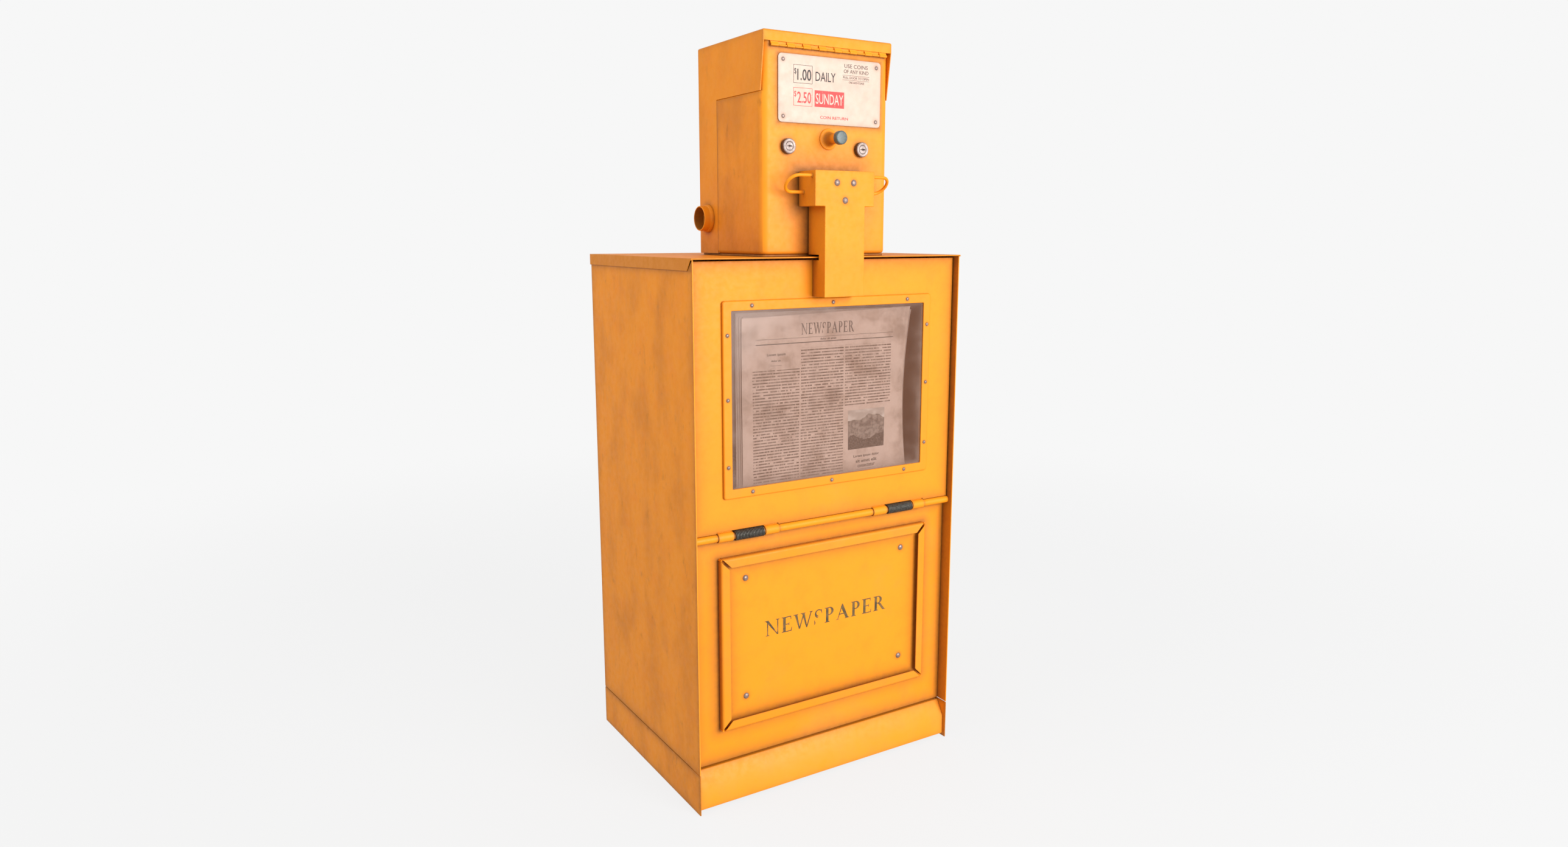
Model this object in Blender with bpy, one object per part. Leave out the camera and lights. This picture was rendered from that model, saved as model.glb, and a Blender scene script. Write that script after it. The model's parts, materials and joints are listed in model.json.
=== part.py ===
"""Newspaper vending box: a sheet-steel cabinet on a skirted base, a bottom-hinged door with a window and a
T-shaped pull, and a coin box on top. Metres, +Z up, the door faces -Y."""

import math

import bmesh
import bpy
from mathutils import Matrix, Vector

# ---------------------------------------------------------------------------------------------------------
# Driving dimensions. Y = 0 is the front edge of the side panels until the whole object is centred at the end.
# ---------------------------------------------------------------------------------------------------------
GAP = 0.0003              # between pieces that touch
SHEET = 0.0020            # cabinet sheet steel
THIN = 0.0015             # door furniture and coin box sheet steel

HALF_WIDTH = 0.2600       # outer face of a side panel
PANEL_DEPTH = 0.4025      # a side panel from its front edge to its back edge
BASE_TOP = 0.0700         # top of the base skirts
CABINET_BOTTOM = 0.0715   # underside of the cabinet floor
TOP_Z = 0.9025            # top of the cabinet
FLANGE_DROP = 0.0189      # how far the top cover's flanges come down

DOOR_Y = 0.0130           # front face of the door sheet
DOOR_HALF = 0.2562
DOOR_BOTTOM = 0.4687
DOOR_NOTCH = 0.4711       # the door's edge over its barrels and springs
DOOR_TOP = 0.8975
DOOR_RETURN = 0.0150      # depth of the door's side returns
HINGE_Y = 0.0140          # axis of the hinge rod
HINGE_Z = 0.4620
ROD_RADIUS = 0.0062
KNUCKLE_RADIUS = 0.0079

WINDOW_HALF = 0.2050      # window frame, outside
WINDOW_BOTTOM = 0.5237
WINDOW_TOP = 0.8370
WINDOW_RAIL = 0.0155      # width of the frame's face
WINDOW_DEPTH = 0.0050     # how proud it stands
WINDOW_CENTRE_Z = (WINDOW_BOTTOM + WINDOW_TOP) / 2

LOWER_PANEL_Y = 0.0235    # front face of the fixed lower panel
CARD_HALF = 0.2100        # card frame, outside
CARD_BOTTOM = 0.1280
CARD_TOP = 0.4250
CARD_LIP = 0.0165
CARD_DEPTH = 0.0112
MITRE_GAP = 0.0034        # how far a rail stops short of its mitre line, measured along the rail

BOX_HALF = 0.12145        # coin box
BOX_FRONT = 0.0241        # face of the hood's front lip
BOX_BACK = 0.2413
BOX_BOTTOM = 0.9060
BOX_TOP = 1.2440
LIP_BOTTOM = 1.2275
WING_BOTTOM = 1.1550
COVER_Y = 0.0280          # front face of the coin box cover
COVER_BACK = 0.1752
COVER_RADIUS = 0.0140
PLATE_THICK = 0.0015

LOCK_Z = 1.0730
LOCK_X = (-0.0763, 0.0640)
LOCK_RADIUS = 0.0120
LOCK_PROUD = 0.0085
BUTTON_X = 0.0011
BUTTON_Z = 1.0870
BUTTON_FACE = -0.0117     # face of the button's cap
TUBE_Y = 0.2108           # axis of the guard tube round the vault lock
TUBE_Z = 0.9640
TUBE_PROUD = 0.0167

HANDLE_FRONT = -0.0230    # T-shaped pull
HANDLE_BACK = 0.0245
HEAD_HALF = 0.0566
HEAD_BOTTOM = 0.9810
HEAD_TOP = 1.0355
COLUMN_HALF = 0.0380
COLUMN_BOTTOM = 0.8390
LOOP_WIRE = 0.0026
LOOP_REACH = 0.0415
LOOP_CENTRE = (-0.0010, 1.0153)   # Y and Z of the middle of a loop
LOOP_HALF = 0.0176        # half the distance between a loop's legs

STRIKER_BOTTOM = 0.9950
STRIKER_TOP = 1.0050
PAWL_PIVOT = (0.0850, 1.0330)     # Y and Z of the latch pawl's pin
PAWL_LIFT = 16.0          # degrees that the pawl stands clear of the striker at rest
SHELF_Z = 0.4380
RIVET_HEIGHT = 0.0025

FRONT_Y = HANDLE_FRONT - RIVET_HEIGHT
BACK_Y = PANEL_DEPTH + 0.0015
CENTRE_Y = (FRONT_Y + BACK_Y) / 2

MATERIALS = {
    "yellow_paint": ((0.86, 0.42, 0.06), 0.42, 0.0),
    "steel": ((0.55, 0.52, 0.50), 0.35, 1.0),
    "dark_steel": ((0.10, 0.11, 0.12), 0.45, 0.9),
    "dark_plastic": ((0.09, 0.11, 0.12), 0.45, 0.0),
    "clear_pane": ((0.62, 0.50, 0.48), 0.10, 0.0),
    "newsprint": ((0.62, 0.55, 0.52), 0.90, 0.0),
    "price_card": ((0.88, 0.82, 0.78), 0.40, 0.0),
    "galvanised": ((0.48, 0.48, 0.47), 0.50, 0.8),
}


# ---------------------------------------------------------------------------------------------------------
# Scene helpers
# ---------------------------------------------------------------------------------------------------------
def clear_scene():
    for old in list(bpy.data.objects):
        bpy.data.objects.remove(old, do_unlink=True)


def make_material(name):
    colour, roughness, metallic = MATERIALS[name]
    material = bpy.data.materials.new(name)
    material.use_nodes = True
    shader = material.node_tree.nodes["Principled BSDF"]
    shader.inputs["Base Color"].default_value = (*colour, 1.0)
    shader.inputs["Roughness"].default_value = roughness
    shader.inputs["Metallic"].default_value = metallic
    material.diffuse_color = (*colour, 1.0)
    return material


def make_home(name, y=0.0, z=0.0, x=0.0, parent=None):
    """An empty that a body's pieces hang from, on the body's joint axis."""
    home = bpy.data.objects.new(name, None)
    bpy.context.scene.collection.objects.link(home)
    home.location = Vector((x, y, z)) - (parent.location if parent else Vector())
    home.parent = parent
    home["origin"] = (x, y, z)
    return home


def link_mesh(name, mesh_source, home):
    """Makes an object of a bmesh that was drawn in cabinet coordinates, and hangs it from its home."""
    bmesh.ops.recalc_face_normals(mesh_source, faces=mesh_source.faces[:])
    bmesh.ops.translate(mesh_source, verts=mesh_source.verts[:], vec=-Vector(home["origin"]))
    mesh = bpy.data.meshes.new(name)
    mesh_source.to_mesh(mesh)
    mesh_source.free()
    made = bpy.data.objects.new(name, mesh)
    bpy.context.scene.collection.objects.link(made)
    made.parent = home
    return made


def add(name, shape, material, home):
    """One node, with its material, shaded smooth between its sharp edges."""
    made = link_mesh(name, shape, home)
    made.data.materials.append(materials[material])
    made.data.shade_smooth()
    made.data.set_sharp_from_angle(angle=math.radians(35))
    return made


def carve(target, shapes, operation="DIFFERENCE"):
    """Cuts shapes from a node, or joins them to it."""
    home = target.parent
    for index, shape in enumerate(shapes):
        tool = link_mesh(f"{target.name}_{operation.lower()}_{index}", shape, home)
        tool.hide_render = True
        tool.display_type = "WIRE"
        modifier = target.modifiers.new(f"{operation.lower()}_{index}", "BOOLEAN")
        modifier.operation = operation
        modifier.solver = "EXACT"
        modifier.object = tool


# ---------------------------------------------------------------------------------------------------------
# Shape helpers
# ---------------------------------------------------------------------------------------------------------
AXES = {"X": (1, 2), "Y": (0, 2), "Z": (0, 1)}


def prism(outline, axis, low, high):
    """A closed outline, in the two axes across the given one, extruded from low to high."""
    first, second = AXES[axis]
    along = 3 - first - second
    shape = bmesh.new()
    rings = []
    for place in (low, high):
        ring = []
        for a, b in outline:
            point = [0.0, 0.0, 0.0]
            point[first], point[second], point[along] = a, b, place
            ring.append(shape.verts.new(point))
        rings.append(ring)
    shape.faces.new(rings[0])
    shape.faces.new(rings[1])
    count = len(outline)
    for i in range(count):
        j = (i + 1) % count
        shape.faces.new((rings[0][i], rings[0][j], rings[1][j], rings[1][i]))
    return shape


def box(x0, x1, y0, y1, z0, z1):
    return prism([(y0, z0), (y1, z0), (y1, z1), (y0, z1)], "X", x0, x1)


def arc(centre, radius, start, end, steps):
    """Points on an arc; angles in degrees."""
    points = []
    for i in range(steps + 1):
        angle = math.radians(start + (end - start) * i / steps)
        points.append((centre[0] + radius * math.cos(angle), centre[1] + radius * math.sin(angle)))
    return points


def rounded_rectangle(a0, a1, b0, b1, radius, steps=3):
    return (
        arc((a1 - radius, b1 - radius), radius, 0, 90, steps)
        + arc((a0 + radius, b1 - radius), radius, 90, 180, steps)
        + arc((a0 + radius, b0 + radius), radius, 180, 270, steps)
        + arc((a1 - radius, b0 + radius), radius, 270, 360, steps)
    )


def folded(path, thickness):
    """The closed outline of a folded sheet: path is one face, and the sheet lies to its left."""
    points = [Vector(p) for p in path]
    normals = []
    for a, b in zip(points, points[1:]):
        run = (b - a).normalized()
        normals.append(Vector((-run.y, run.x)))
    other = []
    for i, point in enumerate(points):
        before = normals[max(i - 1, 0)]
        after = normals[min(i, len(normals) - 1)]
        middle = (before + after).normalized()
        other.append(point + middle * (thickness / max(middle.dot(after), 0.2)))
    return [tuple(p) for p in points] + [tuple(p) for p in reversed(other)]


AXIS_TURN = {
    "X": Matrix.Rotation(math.radians(90), 4, "Y"),
    "Y": Matrix.Rotation(math.radians(-90), 4, "X"),
    "Z": Matrix.Identity(4),
}


def lathe(profile, axis, centre, sides=24):
    """Turns (radius, distance along axis) points round an axis. A closed ring profile leaves a bore; a profile
    that starts and ends at radius 0 is solid."""
    shape = bmesh.new()
    solid = profile[0][0] == 0.0
    rings = []
    for radius, along in profile:
        if radius == 0.0:
            rings.append([shape.verts.new((0, 0, along))])
            continue
        ring = []
        for i in range(sides):
            angle = 2 * math.pi * (i + 0.5) / sides
            ring.append(shape.verts.new((radius * math.cos(angle), radius * math.sin(angle), along)))
        rings.append(ring)
    pairs = list(zip(rings, rings[1:]))
    if not solid:
        pairs.append((rings[-1], rings[0]))
    for low, high in pairs:
        for i in range(sides):
            j = (i + 1) % sides
            if len(low) == 1:
                shape.faces.new((low[0], high[i], high[j]))
            elif len(high) == 1:
                shape.faces.new((low[i], low[j], high[0]))
            else:
                shape.faces.new((low[i], low[j], high[j], high[i]))
    turned = Matrix.Translation(Vector(centre)) @ AXIS_TURN[axis]
    bmesh.ops.transform(shape, matrix=turned, verts=shape.verts[:])
    return shape


def rod(radius, axis, centre, low, high, sides=24):
    return lathe([(0.0, low), (radius, low), (radius, high), (0.0, high)], axis, centre, sides)


def tube(outer, inner, axis, centre, low, high, sides=24):
    return lathe([(inner, low), (outer, low), (outer, high), (inner, high)], axis, centre, sides)


def sweep(path, radius, sides=8):
    """A round wire along a path of points, with flat ends."""
    shape = bmesh.new()
    points = [Vector(p) for p in path]
    rings = []
    side = None
    for i, point in enumerate(points):
        run = (points[min(i + 1, len(points) - 1)] - points[max(i - 1, 0)]).normalized()
        if side is None:
            side = run.orthogonal().normalized()
        side = (side - run * side.dot(run)).normalized()
        up = run.cross(side)
        ring = []
        for k in range(sides):
            angle = 2 * math.pi * k / sides
            ring.append(shape.verts.new(point + radius * (math.cos(angle) * side + math.sin(angle) * up)))
        rings.append(ring)
    for low, high in zip(rings, rings[1:]):
        for k in range(sides):
            j = (k + 1) % sides
            shape.faces.new((low[k], low[j], high[j], high[k]))
    shape.faces.new(rings[0])
    shape.faces.new(rings[-1])
    return shape


def coil(axis, centre, mean_radius, wire, low, high, turns, steps=10, sides=5):
    """A coil spring between low and high along its axis."""
    turn = Matrix.Translation(Vector(centre)) @ AXIS_TURN[axis]
    count = int(turns * steps)
    path = []
    for i in range(count + 1):
        angle = 2 * math.pi * i / steps
        along = low + wire + (high - low - 2 * wire) * i / count
        path.append(turn @ Vector((mean_radius * math.cos(angle), mean_radius * math.sin(angle), along)))
    return sweep(path, wire, sides)


def dome(radius, height, x, face_y, z, sides=12):
    """A rivet head on a face that looks to -Y, rooted a little inside it so that it joins the sheet."""
    root = 0.0005
    profile = [(0.0, root), (radius, root), (radius, 0.0)]
    for angle in (math.radians(35), math.radians(65)):
        profile.append((radius * math.cos(angle), -height * math.sin(angle)))
    profile.append((0.0, -height))
    return lathe(profile, "Y", (x, face_y, z), sides)


# ---------------------------------------------------------------------------------------------------------
# Base
# ---------------------------------------------------------------------------------------------------------
INNER_HALF = HALF_WIDTH - SHEET - GAP     # half width of a sheet that fits between the side panels
BOLT_X = 0.1900
BOLT_Y = (0.0900, 0.3300)                 # bolts that join the cabinet's floor to the base's deck
FOOT = 0.0320                             # width of a foot flange
FOOT_FRONT = 0.0300                       # where a foot flange begins, behind the kick plate
ANCHOR_Y = (0.0600, 0.3500)               # anchor holes in a foot flange


def base():
    for name, side in (("base_skirt_left", -1), ("base_skirt_right", 1)):
        outline = [
            (side * HALF_WIDTH, 0.0),
            (side * HALF_WIDTH, BASE_TOP),
            (side * (HALF_WIDTH - SHEET), BASE_TOP),
            (side * (HALF_WIDTH - SHEET), SHEET),
            (side * (HALF_WIDTH - FOOT), SHEET),
            (side * (HALF_WIDTH - FOOT), 0.0),
        ]
        skirt = add(name, prism(outline, "Y", 0.0, PANEL_DEPTH), "yellow_paint", cabinet)
        anchor_x = side * (HALF_WIDTH - 0.0180)
        anchors = [rod(0.0070, "Z", (anchor_x, y, 0.0), -0.01, 0.01, 16) for y in ANCHOR_Y]
        inner = sorted((side * (HALF_WIDTH - SHEET), side * 0.2))
        carve(skirt, [*anchors, box(*inner, -0.01, FOOT_FRONT, -0.01, 0.01)])

    kick = [(0.0400, 0.0683), (0.0223, 0.0683), (0.0063, 0.0412), (0.0058, 0.0057), (0.0200, 0.0057)]
    add("base_kick_plate", prism(folded(kick, 0.0018), "X", -INNER_HALF, INNER_HALF), "yellow_paint", cabinet)
    back = box(-INNER_HALF, INNER_HALF, PANEL_DEPTH - SHEET, PANEL_DEPTH, SHEET + GAP, BASE_TOP)
    add("base_back_skirt", back, "yellow_paint", cabinet)
    deck = box(-INNER_HALF, INNER_HALF, 0.0260, PANEL_DEPTH - SHEET - GAP, 0.0640, 0.0660)
    deck = add("base_deck", deck, "galvanised", cabinet)
    carve(deck, [rod(0.0055, "Z", (x, y, 0.0), 0.05, 0.08, 12) for x in (-BOLT_X, BOLT_X) for y in BOLT_Y])


# ---------------------------------------------------------------------------------------------------------
# Cabinet
# ---------------------------------------------------------------------------------------------------------
def cabinet_shell():
    panel_top = TOP_Z - SHEET - GAP
    for name, side in (("side_panel_left", -1), ("side_panel_right", 1)):
        faces = sorted((side * HALF_WIDTH, side * (HALF_WIDTH - SHEET)))
        add(name, box(*faces, 0.0, PANEL_DEPTH, CABINET_BOTTOM, panel_top), "yellow_paint", cabinet)
    back = box(-INNER_HALF, INNER_HALF, PANEL_DEPTH - SHEET, PANEL_DEPTH, CABINET_BOTTOM, panel_top)
    add("back_panel", back, "yellow_paint", cabinet)

    floor_back = PANEL_DEPTH - SHEET - GAP
    floor = box(-INNER_HALF, INNER_HALF, 0.0253, floor_back, CABINET_BOTTOM, CABINET_BOTTOM + SHEET)
    floor = add("cabinet_floor", floor, "yellow_paint", cabinet)
    carve(floor, [rod(0.0055, "Z", (x, y, 0.0), 0.06, 0.09, 12) for x in (-BOLT_X, BOLT_X) for y in BOLT_Y])

    flange = 0.0012
    outer = HALF_WIDTH + GAP + flange
    front, back_y = -0.0010, BACK_Y
    flange_bottom = TOP_Z - FLANGE_DROP
    outline = [
        (front, TOP_Z), (back_y, TOP_Z), (back_y, flange_bottom), (0.0146, flange_bottom),
        (0.0030, TOP_Z - 0.0030), (front, TOP_Z - 0.0030),
    ]
    cover = add("top_cover", prism(outline, "X", -outer, outer), "yellow_paint", cabinet)
    inside = box(-HALF_WIDTH - GAP, HALF_WIDTH + GAP, -0.02, back_y - flange, 0.80, TOP_Z - SHEET)
    carve(cover, [inside])

    lower = [(0.0420, 0.4550), (LOWER_PANEL_Y, 0.4550), (LOWER_PANEL_Y, CABINET_BOTTOM)]
    lower = prism(folded(lower, THIN), "X", -INNER_HALF, INNER_HALF)
    add("lower_front_panel", lower, "yellow_paint", cabinet)


def card_rail(reach, half_length, turn):
    """One mitred rail of the card frame: a folded lip on a wall, with a rounded outer corner. It is drawn as
    the top rail, reach above the frame's centre, and turned about Y to its side."""
    radius = 0.0045
    wall = LOWER_PANEL_Y - GAP
    face = LOWER_PANEL_Y - CARD_DEPTH
    path = [(wall, reach)] + arc((face + radius, reach - radius), radius, 90, 180, 4)
    path.append((face, reach - CARD_LIP))
    outline = folded(path, THIN)
    shape = bmesh.new()
    rings = []
    for side in (-1, 1):
        ring = []
        for y, z in outline:
            mitre = max(reach - z, 0.0)
            ring.append(shape.verts.new((side * (half_length - mitre - MITRE_GAP), y, z)))
        rings.append(ring)
    shape.faces.new(rings[0])
    shape.faces.new(rings[1])
    for i in range(len(outline)):
        j = (i + 1) % len(outline)
        shape.faces.new((rings[0][i], rings[0][j], rings[1][j], rings[1][i]))
    bmesh.ops.rotate(shape, verts=shape.verts[:], cent=(0, 0, 0), matrix=Matrix.Rotation(turn, 3, "Y"))
    bmesh.ops.translate(shape, verts=shape.verts[:], vec=(0, 0, (CARD_BOTTOM + CARD_TOP) / 2))
    return shape


def card_frame():
    half_height = (CARD_TOP - CARD_BOTTOM) / 2
    rails = {
        "card_rail_top": (half_height, CARD_HALF, 0.0),
        "card_rail_right": (CARD_HALF, half_height, math.pi / 2),
        "card_rail_bottom": (half_height, CARD_HALF, math.pi),
        "card_rail_left": (CARD_HALF, half_height, -math.pi / 2),
    }
    for name, (reach, half_length, turn) in rails.items():
        add(name, card_rail(reach, half_length, turn), "yellow_paint", cabinet)
    inset = 0.0028
    plate = box(
        inset - CARD_HALF, CARD_HALF - inset, LOWER_PANEL_Y - GAP - 0.0012, LOWER_PANEL_Y - GAP,
        CARD_BOTTOM + inset, CARD_TOP - inset,
    )
    plate = add("card_plate", plate, "yellow_paint", cabinet)
    face = LOWER_PANEL_Y - GAP - 0.0012
    rivets = [dome(0.0050, RIVET_HEIGHT, x, face, z) for x in (-0.1600, 0.1600) for z in (0.1780, 0.3840)]
    carve(plate, rivets, "UNION")


def hinge():
    add("hinge_rod", rod(ROD_RADIUS, "X", (0, HINGE_Y, HINGE_Z), -INNER_HALF, INNER_HALF, 20),
        "yellow_paint", cabinet)
    for name, low, high in (("door_spring_left", -0.1870, -0.1310), ("door_spring_right", 0.1190, 0.1740)):
        spring = coil("X", (0, HINGE_Y, HINGE_Z), 0.0076, 0.0010, low, high, 17)
        add(name, spring, "dark_steel", cabinet)


def shelf_and_papers():
    back = PANEL_DEPTH - SHEET - GAP
    wall = INNER_HALF - GAP
    path = [(wall, SHELF_Z - 0.0300), (wall, SHELF_Z), (-wall, SHELF_Z), (-wall, SHELF_Z - 0.0300)]
    shelf = prism(folded(path, THIN), "Y", 0.0440, back - 0.0010)
    add("paper_shelf", shelf, "galvanised", cabinet)
    stack = box(-0.1650, 0.1650, 0.0650, 0.3550, SHELF_Z + GAP, SHELF_Z + 0.0900)
    add("newspaper_stack", stack, "newsprint", cabinet)


# ---------------------------------------------------------------------------------------------------------
# Coin box
# ---------------------------------------------------------------------------------------------------------
def cover_levels():
    """Half width and height of the cover's cross-sections: it is joggled in where the hood's wings lap it."""
    lapped = BOX_HALF - THIN - GAP
    return [(BOX_HALF, BOX_BOTTOM), (BOX_HALF, WING_BOTTOM - 0.0019), (lapped, WING_BOTTOM - GAP),
            (lapped, BOX_TOP - 0.0046)]


def coin_box():
    bevelled = prism(
        [(BOX_FRONT, BOX_TOP), (BOX_BACK, BOX_TOP), (BOX_BACK, BOX_BOTTOM), (COVER_BACK + GAP, BOX_BOTTOM),
         (COVER_BACK + GAP, WING_BOTTOM), (0.0344, WING_BOTTOM), (BOX_FRONT, LIP_BOTTOM)],
        "X", -BOX_HALF, BOX_HALF,
    )
    top_edges = [
        e for e in bevelled.edges
        if all(v.co.z > BOX_TOP - 1e-5 for v in e.verts) or all(v.co.y > BOX_BACK - 1e-5 for v in e.verts)
    ]
    bmesh.ops.bevel(bevelled, geom=top_edges, offset=0.0030, segments=2, profile=0.5, affect="EDGES")
    hood = add("coin_box_hood", bevelled, "yellow_paint", cabinet)
    wide = BOX_HALF - THIN
    hollow = prism(
        [(BOX_FRONT + THIN, BOX_TOP - THIN), (BOX_BACK - THIN, BOX_TOP - THIN), (BOX_BACK - THIN, 0.85),
         (-0.02, 0.85), (-0.02, LIP_BOTTOM + 0.0001), (BOX_FRONT + THIN, LIP_BOTTOM + 0.0001)],
        "X", -wide, wide,
    )
    lock_hole = rod(0.0140, "X", (0, TUBE_Y, TUBE_Z), -0.14, -0.11, 20)
    slot = box(0.0300, 0.0560, 0.0985, 0.1015, 1.23, 1.26)
    carve(hood, [hollow, lock_hole, slot])

    shape = bmesh.new()
    rings = []
    for half, z in cover_levels():
        radius = COVER_RADIUS - (BOX_HALF - half)
        outer = (
            [(half, COVER_BACK)] + arc((half - radius, COVER_Y + radius), radius, 0, -90, 5)
            + arc((radius - half, COVER_Y + radius), radius, -90, -180, 5) + [(-half, COVER_BACK)]
        )
        outline = folded(outer, -THIN)
        rings.append([shape.verts.new((x, y, z)) for x, y in outline])
    shape.faces.new(rings[0])
    shape.faces.new(rings[-1])
    for low, high in zip(rings, rings[1:]):
        for i in range(len(low)):
            j = (i + 1) % len(low)
            shape.faces.new((low[i], low[j], high[j], high[i]))
    cover = add("coin_box_cover", shape, "yellow_paint", cabinet)
    holes = [rod(0.0101, "Y", (x, 0, LOCK_Z), 0.0, 0.05, 20) for x in LOCK_X]
    holes.append(rod(0.0089, "Y", (BUTTON_X, 0, BUTTON_Z), 0.0, 0.05, 20))
    striker_slot = box(-0.0090, 0.0090, 0.0, 0.05, STRIKER_BOTTOM - 0.006, STRIKER_TOP + 0.014)
    wing_relief = box(-0.2, 0.2, 0.0700, 0.3, WING_BOTTOM + 0.0012, 1.3)
    carve(cover, [*holes, striker_slot, wing_relief])

    outline = rounded_rectangle(-BOX_HALF + 0.0030, BOX_HALF - 0.0030, 0.0315, BOX_BACK - 0.0030, 0.0060)
    floor = prism(outline, "Z", TOP_Z + GAP, BOX_BOTTOM - GAP)
    add("coin_box_floor", floor, "yellow_paint", cabinet)


HINGE_X = (-0.1085, 0.1122)   # ends of the cover's piano hinge
PIANO_Y = 0.0245
PIANO_Z = 1.2218
PIN_RADIUS = 0.0007


def piano_hinge():
    """The cover's piano hinge: one leaf behind the hood's lip, one on the cover, and a pin through both. The
    upper leaf's tabs slope forward under the lip, and leave dark windows over the lower leaf's barrels."""
    knuckles = 15
    pitch = (HINGE_X[1] - HINGE_X[0]) / knuckles
    behind_lip = BOX_FRONT + THIN + GAP
    upper = (behind_lip, behind_lip + 0.0007)
    lower = (behind_lip + 0.0010, COVER_Y - GAP)
    foot = LIP_BOTTOM + 0.0010
    tab = [
        (PIANO_Y - 0.0012, PIANO_Z + 0.0012), (upper[0], LIP_BOTTOM - GAP), (upper[0], foot + 0.0004),
        (upper[1] - 0.0001, foot + 0.0004), (upper[1] - 0.0001, LIP_BOTTOM - 0.0010),
        (PIANO_Y + 0.0012, PIANO_Z + 0.0012),
    ]
    link = [
        (PIANO_Y + 0.0008, PIANO_Z - 0.0006), (lower[1] - 0.0001, PIANO_Z - 0.0006),
        (lower[1] - 0.0001, PIANO_Z + 0.0006), (PIANO_Y + 0.0008, PIANO_Z + 0.0006),
    ]
    leaves = (
        ("cover_hinge_upper_leaf", 0, upper, foot, tab, 0.0019),
        ("cover_hinge_lower_leaf", 1, lower, PIANO_Z - 0.0009, link, 0.0015),
    )
    for name, first, leaf, bottom, outline, radius in leaves:
        node = add(name, box(*HINGE_X, *leaf, bottom, LIP_BOTTOM + 0.0120), "yellow_paint", cabinet)
        joined = []
        for i in range(first, knuckles, 2):
            low = HINGE_X[0] + pitch * i + 0.0003
            high = low + pitch - 0.0006
            centre = (0, PIANO_Y, PIANO_Z)
            joined.append(tube(radius, PIN_RADIUS + GAP, "X", centre, low, high, 12))
            joined.append(prism(outline, "X", low + 0.0001, high - 0.0001))
        carve(node, joined, "UNION")
    add("cover_hinge_pin", rod(PIN_RADIUS, "X", (0, PIANO_Y, PIANO_Z), *HINGE_X, 8), "steel", cabinet)


PRICE_X = (-0.0938, 0.1022)
PRICE_Z = (1.1092, 1.2118)


def price_plate():
    face = COVER_Y - GAP
    outline = rounded_rectangle(*PRICE_X, *PRICE_Z, 0.0065, 4)
    plate = add("price_plate", prism(outline, "Y", face - PLATE_THICK, face), "price_card", cabinet)
    inset = 0.0090
    screws = [
        dome(0.0034, 0.0014, x, face - PLATE_THICK, z)
        for x in (PRICE_X[0] + inset, PRICE_X[1] - inset) for z in (PRICE_Z[0] + inset, PRICE_Z[1] - inset)
    ]
    carve(plate, screws, "UNION")


def cam_lock(side, x, home):
    """A cam lock: the body stays in the cover, and the plug turns with its cam behind the cover."""
    centre = (x, 0, LOCK_Z)
    face = COVER_Y - LOCK_PROUD
    seat = COVER_Y - GAP
    bore = 0.0066
    end = 0.0480
    body = lathe(
        [(bore, face + 0.0004), (0.0090, face), (0.0110, face), (LOCK_RADIUS, face + 0.0012),
         (LOCK_RADIUS, seat), (0.0098, seat), (0.0098, end), (bore, end)],
        "Y", centre, 24,
    )
    add(f"lock_body_{side}", body, "steel", cabinet)
    plug = lathe(
        [(0.0, face + 0.0012), (bore - GAP, face + 0.0012), (bore - GAP, end + 0.0005),
         (0.0040, end + 0.0005), (0.0040, end + 0.0060), (0.0, end + 0.0060)],
        "Y", centre, 20,
    )
    plug = add(f"lock_plug_{side}", plug, "steel", home)
    keyway = box(x - 0.0045, x + 0.0045, face - 0.01, face + 0.0042, LOCK_Z - 0.0005, LOCK_Z + 0.0005)
    carve(plug, [keyway])
    tail = rounded_rectangle(x - 0.0065, x + 0.0065, LOCK_Z - 0.0300, LOCK_Z + 0.0080, 0.0060, 3)
    cam = add(f"lock_cam_{side}", prism(tail, "Y", end + 0.0015, end + 0.0040), "galvanised", home)
    carve(cam, [rod(0.0040 + GAP, "Y", centre, 0.0, 0.1, 20)])


def return_button(home):
    """The coin return: a bushing in the cover, and a sprung button whose cap slides over the bushing."""
    centre = (BUTTON_X, 0, BUTTON_Z)
    seat = COVER_Y - GAP
    nose, bore, stem, cap, skirt = 0.0085, 0.0058, 0.0034, 0.0108, -0.0020
    flange = [(0.0168, seat), (0.0168, seat - 0.0012), (0.0162, seat - 0.0020)]
    neck = [(nose + 0.0060 * (1 - math.sin(a)), seat - 0.0020 - 0.0110 * (1 - math.cos(a)))
            for a in (math.radians(d) for d in (15, 40, 65, 90))]
    bushing = lathe(
        [(bore, skirt + GAP), (nose, skirt + GAP), *reversed(neck), *reversed(flange),
         (nose, seat), (nose, COVER_Y + 0.0120), (stem + GAP, COVER_Y + 0.0120),
         (stem + GAP, COVER_Y + 0.0080), (bore, COVER_Y + 0.0080)],
        "Y", centre, 28,
    )
    add("return_button_bushing", bushing, "yellow_paint", cabinet)
    face = BUTTON_FACE
    roof = face + 0.0020
    button = lathe(
        [(0.0, face), (cap - 0.0020, face), (cap - 0.0006, face + 0.0008), (cap, face + 0.0024), (cap, skirt),
         (nose + GAP, skirt), (nose + GAP, roof), (stem, roof), (stem, COVER_Y + 0.0230),
         (0.0, COVER_Y + 0.0230)],
        "Y", centre, 28,
    )
    add("return_button", button, "dark_plastic", home)
    spring = coil("Y", centre, 0.0046, 0.0005, roof + GAP, COVER_Y + 0.0077, 9, 8, 4)
    add("return_button_spring", spring, "steel", home)


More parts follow.
